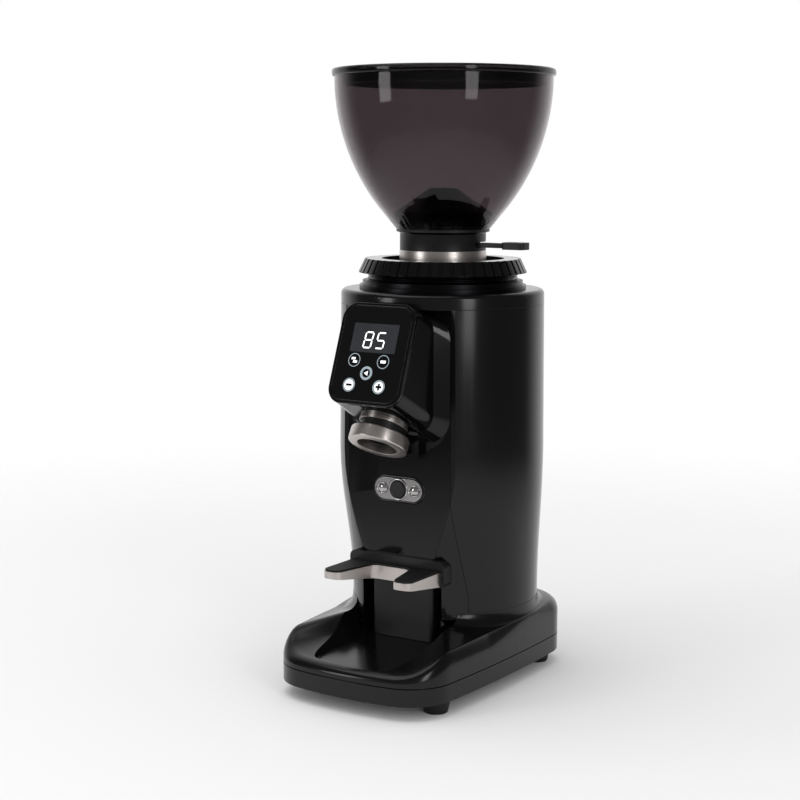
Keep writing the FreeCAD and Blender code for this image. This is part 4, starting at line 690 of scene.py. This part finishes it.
def cone_cover():
    """Finger guard over the gate: a profile carried round the axis, with flat sides above a brim.

    The reach is r mixed with r cos(pi / n) / cos(a), where a is the angle from a side's middle.
    """
    turn = full_turn(CONE_COLUMNS)
    from_side = np.mod(turn, 2 * np.pi / CONE_SIDES) - np.pi / CONE_SIDES
    flat = math.cos(math.pi / CONE_SIDES) / np.cos(from_side)
    share = np.clip((CONE_PROFILE[:, 1:] - CONE_ROUND_BELOW) / CONE_BLEND, 0, 1)
    reach = CONE_PROFILE[:, :1] * (1 - share + share * flat)
    level = CONE_PROFILE[:, 1:] + 0 * turn
    points = metres(np.stack([reach * np.cos(turn), reach * np.sin(turn), level], axis=-1))
    mesh = grid_mesh("guard_cone_cover", points[::-1], False, True)
    mesh.set_sharp_from_angle(angle=math.radians(CONE_CREASE))
    piece = bpy.data.objects.new("guard_cone_cover", mesh)
    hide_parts("guard_cone")
    put(piece, BODY_OF["guard_cone"], NYLON)


button_ring()
screw_domes()
plate_gasket()
cone_cover()


# Touch panel

PANEL_PLACE = np.array([0.0, -101.9, 266.0])
PANEL_TILT = math.radians(20.6)
PANEL_ACROSS = np.array([1.0, 0.0, 0.0])
PANEL_UP = np.array([0.0, math.sin(PANEL_TILT), math.cos(PANEL_TILT)])
PANEL_OUT = np.array([0.0, -math.cos(PANEL_TILT), math.sin(PANEL_TILT)])

FILM_LIFT = 0.03
RING_LIFT = 0.05
MARK_LIFT = 0.06
CUT_LIFT = 0.08

WINDOW_MIDDLE = np.array([0.0, 12.2])
WINDOW_SIZE = (40.0, 22.4)
WINDOW_CORNER = 0.6
DIGITS = (("8", (-5.2, -1.6)), ("5", (5.8, -1.6)))
DIGIT_SIZE = np.array([6.6, 12.0])
STROKE = 1.1
STROKE_GAP = 0.35
SLANT = 0.1
SEGMENT_ENDS = np.array([
    [[-1, 1], [1, 1]], [[1, 1], [1, 0]], [[1, 0], [1, -1]], [[-1, -1], [1, -1]],
    [[-1, 0], [-1, -1]], [[-1, 1], [-1, 0]], [[-1, 0], [1, 0]]]) / 2
LIT_SEGMENTS = {"8": (0, 1, 2, 3, 4, 5, 6), "5": (0, 2, 3, 5, 6)}

KEYS = {"double": np.array([-14.2, -5.5]), "single": np.array([11.6, -5.5]),
        "start": np.array([-1.3, -15.0]), "less": np.array([-14.6, -24.8]),
        "more": np.array([12.0, -24.8])}
KEY_R = 5.3
KEY_INNER = {"double": 4.7, "single": 4.7, "start": 3.4, "less": 4.5, "more": 4.5}
DISC_R = 4.1
DISC_EYE = 0.05
DASH = (3.6, 1.8)
DASH_STEP = np.array([-0.9, 1.2])
BLOCK = (4.6, 2.2)
MARK_CORNER = 0.3
ARROW = np.array([[-2.0, 0.0], [1.3, -1.9], [1.3, 1.9]])
BAR = np.array([5.2, 1.8])
BAR_CORNER = 0.2
KEY_STEPS = 48
CORNER_STEPS = 32


def on_panel(across, up, lift):
    """Points on the panel from millimetres across, up and out of the glass."""
    parts = ((across, PANEL_ACROSS), (up, PANEL_UP), (lift, PANEL_OUT))
    return metres(PANEL_PLACE + sum(np.multiply.outer(part, axis) for part, axis in parts))


def flat_marks(name, outlines, lift, material):
    """Thin flat marks on the glass: each outline of (across, up) corners becomes one face."""
    mesh = bpy.data.meshes.new(name)
    flat = np.concatenate(outlines)
    counts = [len(outline) for outline in outlines]
    faces = np.split(np.arange(len(flat)), np.cumsum(counts)[:-1])
    mesh.from_pydata(on_panel(flat[:, 0], flat[:, 1], np.full(len(flat), lift)), [], faces)
    put(bpy.data.objects.new(name, mesh), "casing", material)


def ring_marks(name, radii, material):
    """Flat rings on the keys: columns run round the key, rows are its outer and inner radius."""
    turn = full_turn(KEY_STEPS)
    for key, (inner, outer) in radii.items():
        reach = np.array([outer, inner])[:, None]
        across = KEYS[key][0] + reach * np.cos(turn)
        up = KEYS[key][1] + reach * np.sin(turn)
        points = on_panel(across, up, np.full(across.shape, RING_LIFT))
        mesh = grid_mesh(f"{name}_{key}", points, False, True)
        put(bpy.data.objects.new(f"{name}_{key}", mesh), "casing", material)


def rounded_box(middle, size, radius):
    """Rounded rectangle: corner centres plus radius times the turning unit vector."""
    turn = full_turn(CORNER_STEPS) + np.pi / CORNER_STEPS
    way = np.stack([np.cos(turn), np.sin(turn)], axis=1)
    return middle + np.sign(way) * (np.asarray(size) / 2 - radius) + radius * way


def digit(figure, middle):
    """Seven-segment figure: each bar joins two corners of its frame and is pointed at both ends."""
    ends = SEGMENT_ENDS[list(LIT_SEGMENTS[figure])] * DIGIT_SIZE
    along = ends[:, 1] - ends[:, 0]
    length = np.linalg.norm(along, axis=1)[:, None, None]
    along = along[:, None] / length
    across = np.stack([-along[..., 1], along[..., 0]], axis=-1)
    half = STROKE / 2
    stations = np.array([0, half, -half, 0, -half, half])[None, :, None]
    at_far_end = np.array([0, 0, 1, 1, 1, 0])[None, :, None]
    stations = stations + at_far_end * (length - 2 * STROKE_GAP)
    widths = np.array([0, 1, 1, 0, -1, -1])[None, :, None] * half
    points = ends[:, :1] + along * (stations + STROKE_GAP) + across * widths
    points[..., 0] += SLANT * points[..., 1]
    return list(points + middle)


window = rounded_box(WINDOW_MIDDLE, WINDOW_SIZE, WINDOW_CORNER)
flat_marks("display_window", [window], FILM_LIFT, FILM)
bars = [bar for figure, place in DIGITS for bar in digit(figure, WINDOW_MIDDLE + place)]
flat_marks("display_digits", bars, MARK_LIFT, DIGIT_LIGHT)

ring_marks("key_ring", {key: (inner, KEY_R) for key, inner in KEY_INNER.items()}, KEY_RING)
ring_marks("key_disc", {key: (DISC_EYE, DISC_R) for key in ("less", "more")}, KEY_LIGHT)
flat_marks("key_glyphs", [
    rounded_box(KEYS["double"] + DASH_STEP, DASH, MARK_CORNER),
    rounded_box(KEYS["double"] - DASH_STEP, DASH, MARK_CORNER),
    rounded_box(KEYS["single"], BLOCK, MARK_CORNER),
    KEYS["start"] + ARROW], MARK_LIFT, KEY_LIGHT)
flat_marks("key_cuts", [
    rounded_box(KEYS["less"], BAR, BAR_CORNER),
    rounded_box(KEYS["more"], BAR, BAR_CORNER),
    rounded_box(KEYS["more"], BAR[::-1], BAR_CORNER)], CUT_LIFT, GLASS)


# Studio, with its places and sizes in metres

FLOOR_EYE_M = 0.001
FLOOR_CLEAR_M = 0.25
FLOOR_FADE_M = 1.2
FLOOR_R_M = 2.6
FLOOR_STEPS = 64
BACKDROP_WAY = (-0.52, 0.854, 0.0)
ROOM_TONES = ((0.0, 0.25), (0.3, 0.12), (0.62, 0.12), (0.88, 1.0))
FILL_LIGHT = 0.75

# Each softbox: place, aim, size and watts
SOFTBOXES = {
    "overhead_softbox": ((-0.3, -0.2, 1.6), (0, 0, 0.2), (1.2, 1.2), 7),
    "left_softbox": ((-0.9, -1.45, 0.48), (0, 0, 0.3), (0.4, 0.7), 4.5),
    "right_softbox": ((1.5, -0.85, 0.6), (0, 0, 0.3), (0.4, 1.0), 6),
}


def studio_floor():
    """Pale matt disc that turns from diffuse to transparent with the distance from its middle."""
    turn = full_turn(FLOOR_STEPS)
    reach = np.array([FLOOR_EYE_M, FLOOR_FADE_M / 2, FLOOR_FADE_M, FLOOR_R_M])[:, None]
    points = np.stack([reach * np.cos(turn), reach * np.sin(turn), 0 * reach * turn], axis=-1)
    piece = bpy.data.objects.new("floor", grid_mesh("floor", points, False, True))
    bpy.context.scene.collection.objects.link(piece)
    made, tree = blank("pale studio floor")
    away = add(tree, "ShaderNodeVectorMath", {"operation": "LENGTH"}, {0: own_place(tree)})
    settings = {"interpolation_type": "SMOOTHSTEP", "From Min": FLOOR_CLEAR_M,
                "From Max": FLOOR_FADE_M}
    fade = add(tree, "ShaderNodeMapRange", settings, {"Value": away.outputs["Value"]})
    matt = add(tree, "ShaderNodeBsdfDiffuse", {"Color": linear("#f4f4f4")})
    clear = add(tree, "ShaderNodeBsdfTransparent")
    mixed = add(tree, "ShaderNodeMixShader", {}, {
        0: fade.outputs["Result"], 1: matt.outputs["BSDF"], 2: clear.outputs["BSDF"]})
    add(tree, "ShaderNodeOutputMaterial", {}, {"Surface": mixed.outputs["Shader"]})
    piece.data.materials.append(made)


def studio_world():
    """White surround for the camera and through glass, and a softer grey for the light on things.

    Gloss sees a studio with a white backdrop behind the grinder, dark sides and a dim front.
    """
    world = bpy.data.worlds.new("studio")
    bpy.context.scene.world = world
    world.use_nodes = True
    tree = world.node_tree
    tree.nodes.clear()
    path = add(tree, "ShaderNodeLightPath")
    glossy = path.outputs["Is Glossy Ray"]
    seen = add(tree, "ShaderNodeMath", {"operation": "ADD"},
               {0: path.outputs["Is Camera Ray"], 1: glossy})
    shown = add(tree, "ShaderNodeMath", {"operation": "ADD", "use_clamp": True},
                {0: seen.outputs["Value"], 1: path.outputs["Is Transmission Ray"]})
    power = add(tree, "ShaderNodeMapRange", {"To Min": FILL_LIGHT, "To Max": 1.0},
                {"Value": shown.outputs["Value"]})
    way = add(tree, "ShaderNodeTexCoord")
    toward = add(tree, "ShaderNodeVectorMath", {"operation": "DOT_PRODUCT", 1: BACKDROP_WAY},
                 {0: way.outputs["Generated"]})
    share = add(tree, "ShaderNodeMapRange", {"From Min": -1.0, "From Max": 1.0},
                {"Value": toward.outputs["Value"]})
    room = add(tree, "ShaderNodeValToRGB", {}, {"Fac": share.outputs["Result"]})
    room.color_ramp.interpolation = "EASE"
    while len(room.color_ramp.elements) < len(ROOM_TONES):
        room.color_ramp.elements.new(0.5)
    for stop, (place, tone) in zip(room.color_ramp.elements, ROOM_TONES):
        stop.position = place
        stop.color = (tone, tone, tone, 1.0)
    mixed = add(tree, "ShaderNodeMix", {"data_type": "RGBA", MIX_FROM: (1, 1, 1, 1)},
                {MIX_SHARE: glossy, MIX_TO: room.outputs["Color"]})
    sky = add(tree, "ShaderNodeBackground", {},
              {"Color": mixed.outputs[MIX_RESULT], "Strength": power.outputs["Result"]})
    add(tree, "ShaderNodeOutputWorld", {}, {"Surface": sky.outputs["Background"]})


def softbox(name, place, aim, size, power):
    """Rectangular lamp that points at a place on the grinder."""
    lamp = bpy.data.lights.new(name, "AREA")
    lamp.shape = "RECTANGLE"
    lamp.size, lamp.size_y = size
    lamp.energy = power
    piece = bpy.data.objects.new(name, lamp)
    bpy.context.scene.collection.objects.link(piece)
    piece.location = place
    piece.rotation_euler = (Vector(aim) - Vector(place)).to_track_quat("-Z", "Y").to_euler()


# Camera, in millimetres again

PHOTO_SIDE_PX = 800
FOCAL_PX = 1689.48
SENSOR_W = 36.0
CAMERA_BEARING = math.radians(31.220)
CAMERA_AWAY = 1340.83
CAMERA_UP = 407.74
CAMERA_YAW = math.radians(1.437)
CAMERA_PITCH = math.radians(8.005)
CAMERA_ROLL = math.radians(0.1385)


def photo_camera():
    """Camera at the photograph's place: on a bearing from the front, looking down a little."""
    heading = CAMERA_BEARING + CAMERA_YAW
    level = Vector((-math.sin(heading), math.cos(heading), 0))
    ahead = level * math.cos(CAMERA_PITCH) - Vector((0, 0, math.sin(CAMERA_PITCH)))
    right = Vector((math.cos(heading), math.sin(heading), 0))
    above = right.cross(ahead)
    across = right * math.cos(CAMERA_ROLL) + above * math.sin(CAMERA_ROLL)
    upward = above * math.cos(CAMERA_ROLL) - right * math.sin(CAMERA_ROLL)
    camera = bpy.data.cameras.new("camera")
    camera.sensor_width = SENSOR_W
    camera.lens = SENSOR_W * FOCAL_PX / PHOTO_SIDE_PX
    piece = bpy.data.objects.new("camera", camera)
    bpy.context.scene.collection.objects.link(piece)
    spot = metres([CAMERA_AWAY * math.sin(CAMERA_BEARING),
                   -CAMERA_AWAY * math.cos(CAMERA_BEARING), CAMERA_UP])
    turned = Matrix((across, upward, -ahead)).transposed()
    piece.matrix_world = Matrix.Translation(spot) @ turned.to_4x4()
    bpy.context.scene.camera = piece


studio_floor()
studio_world()
for name, settings in SOFTBOXES.items():
    softbox(name, *settings)
photo_camera()
bpy.context.scene.view_settings.view_transform = "Standard"
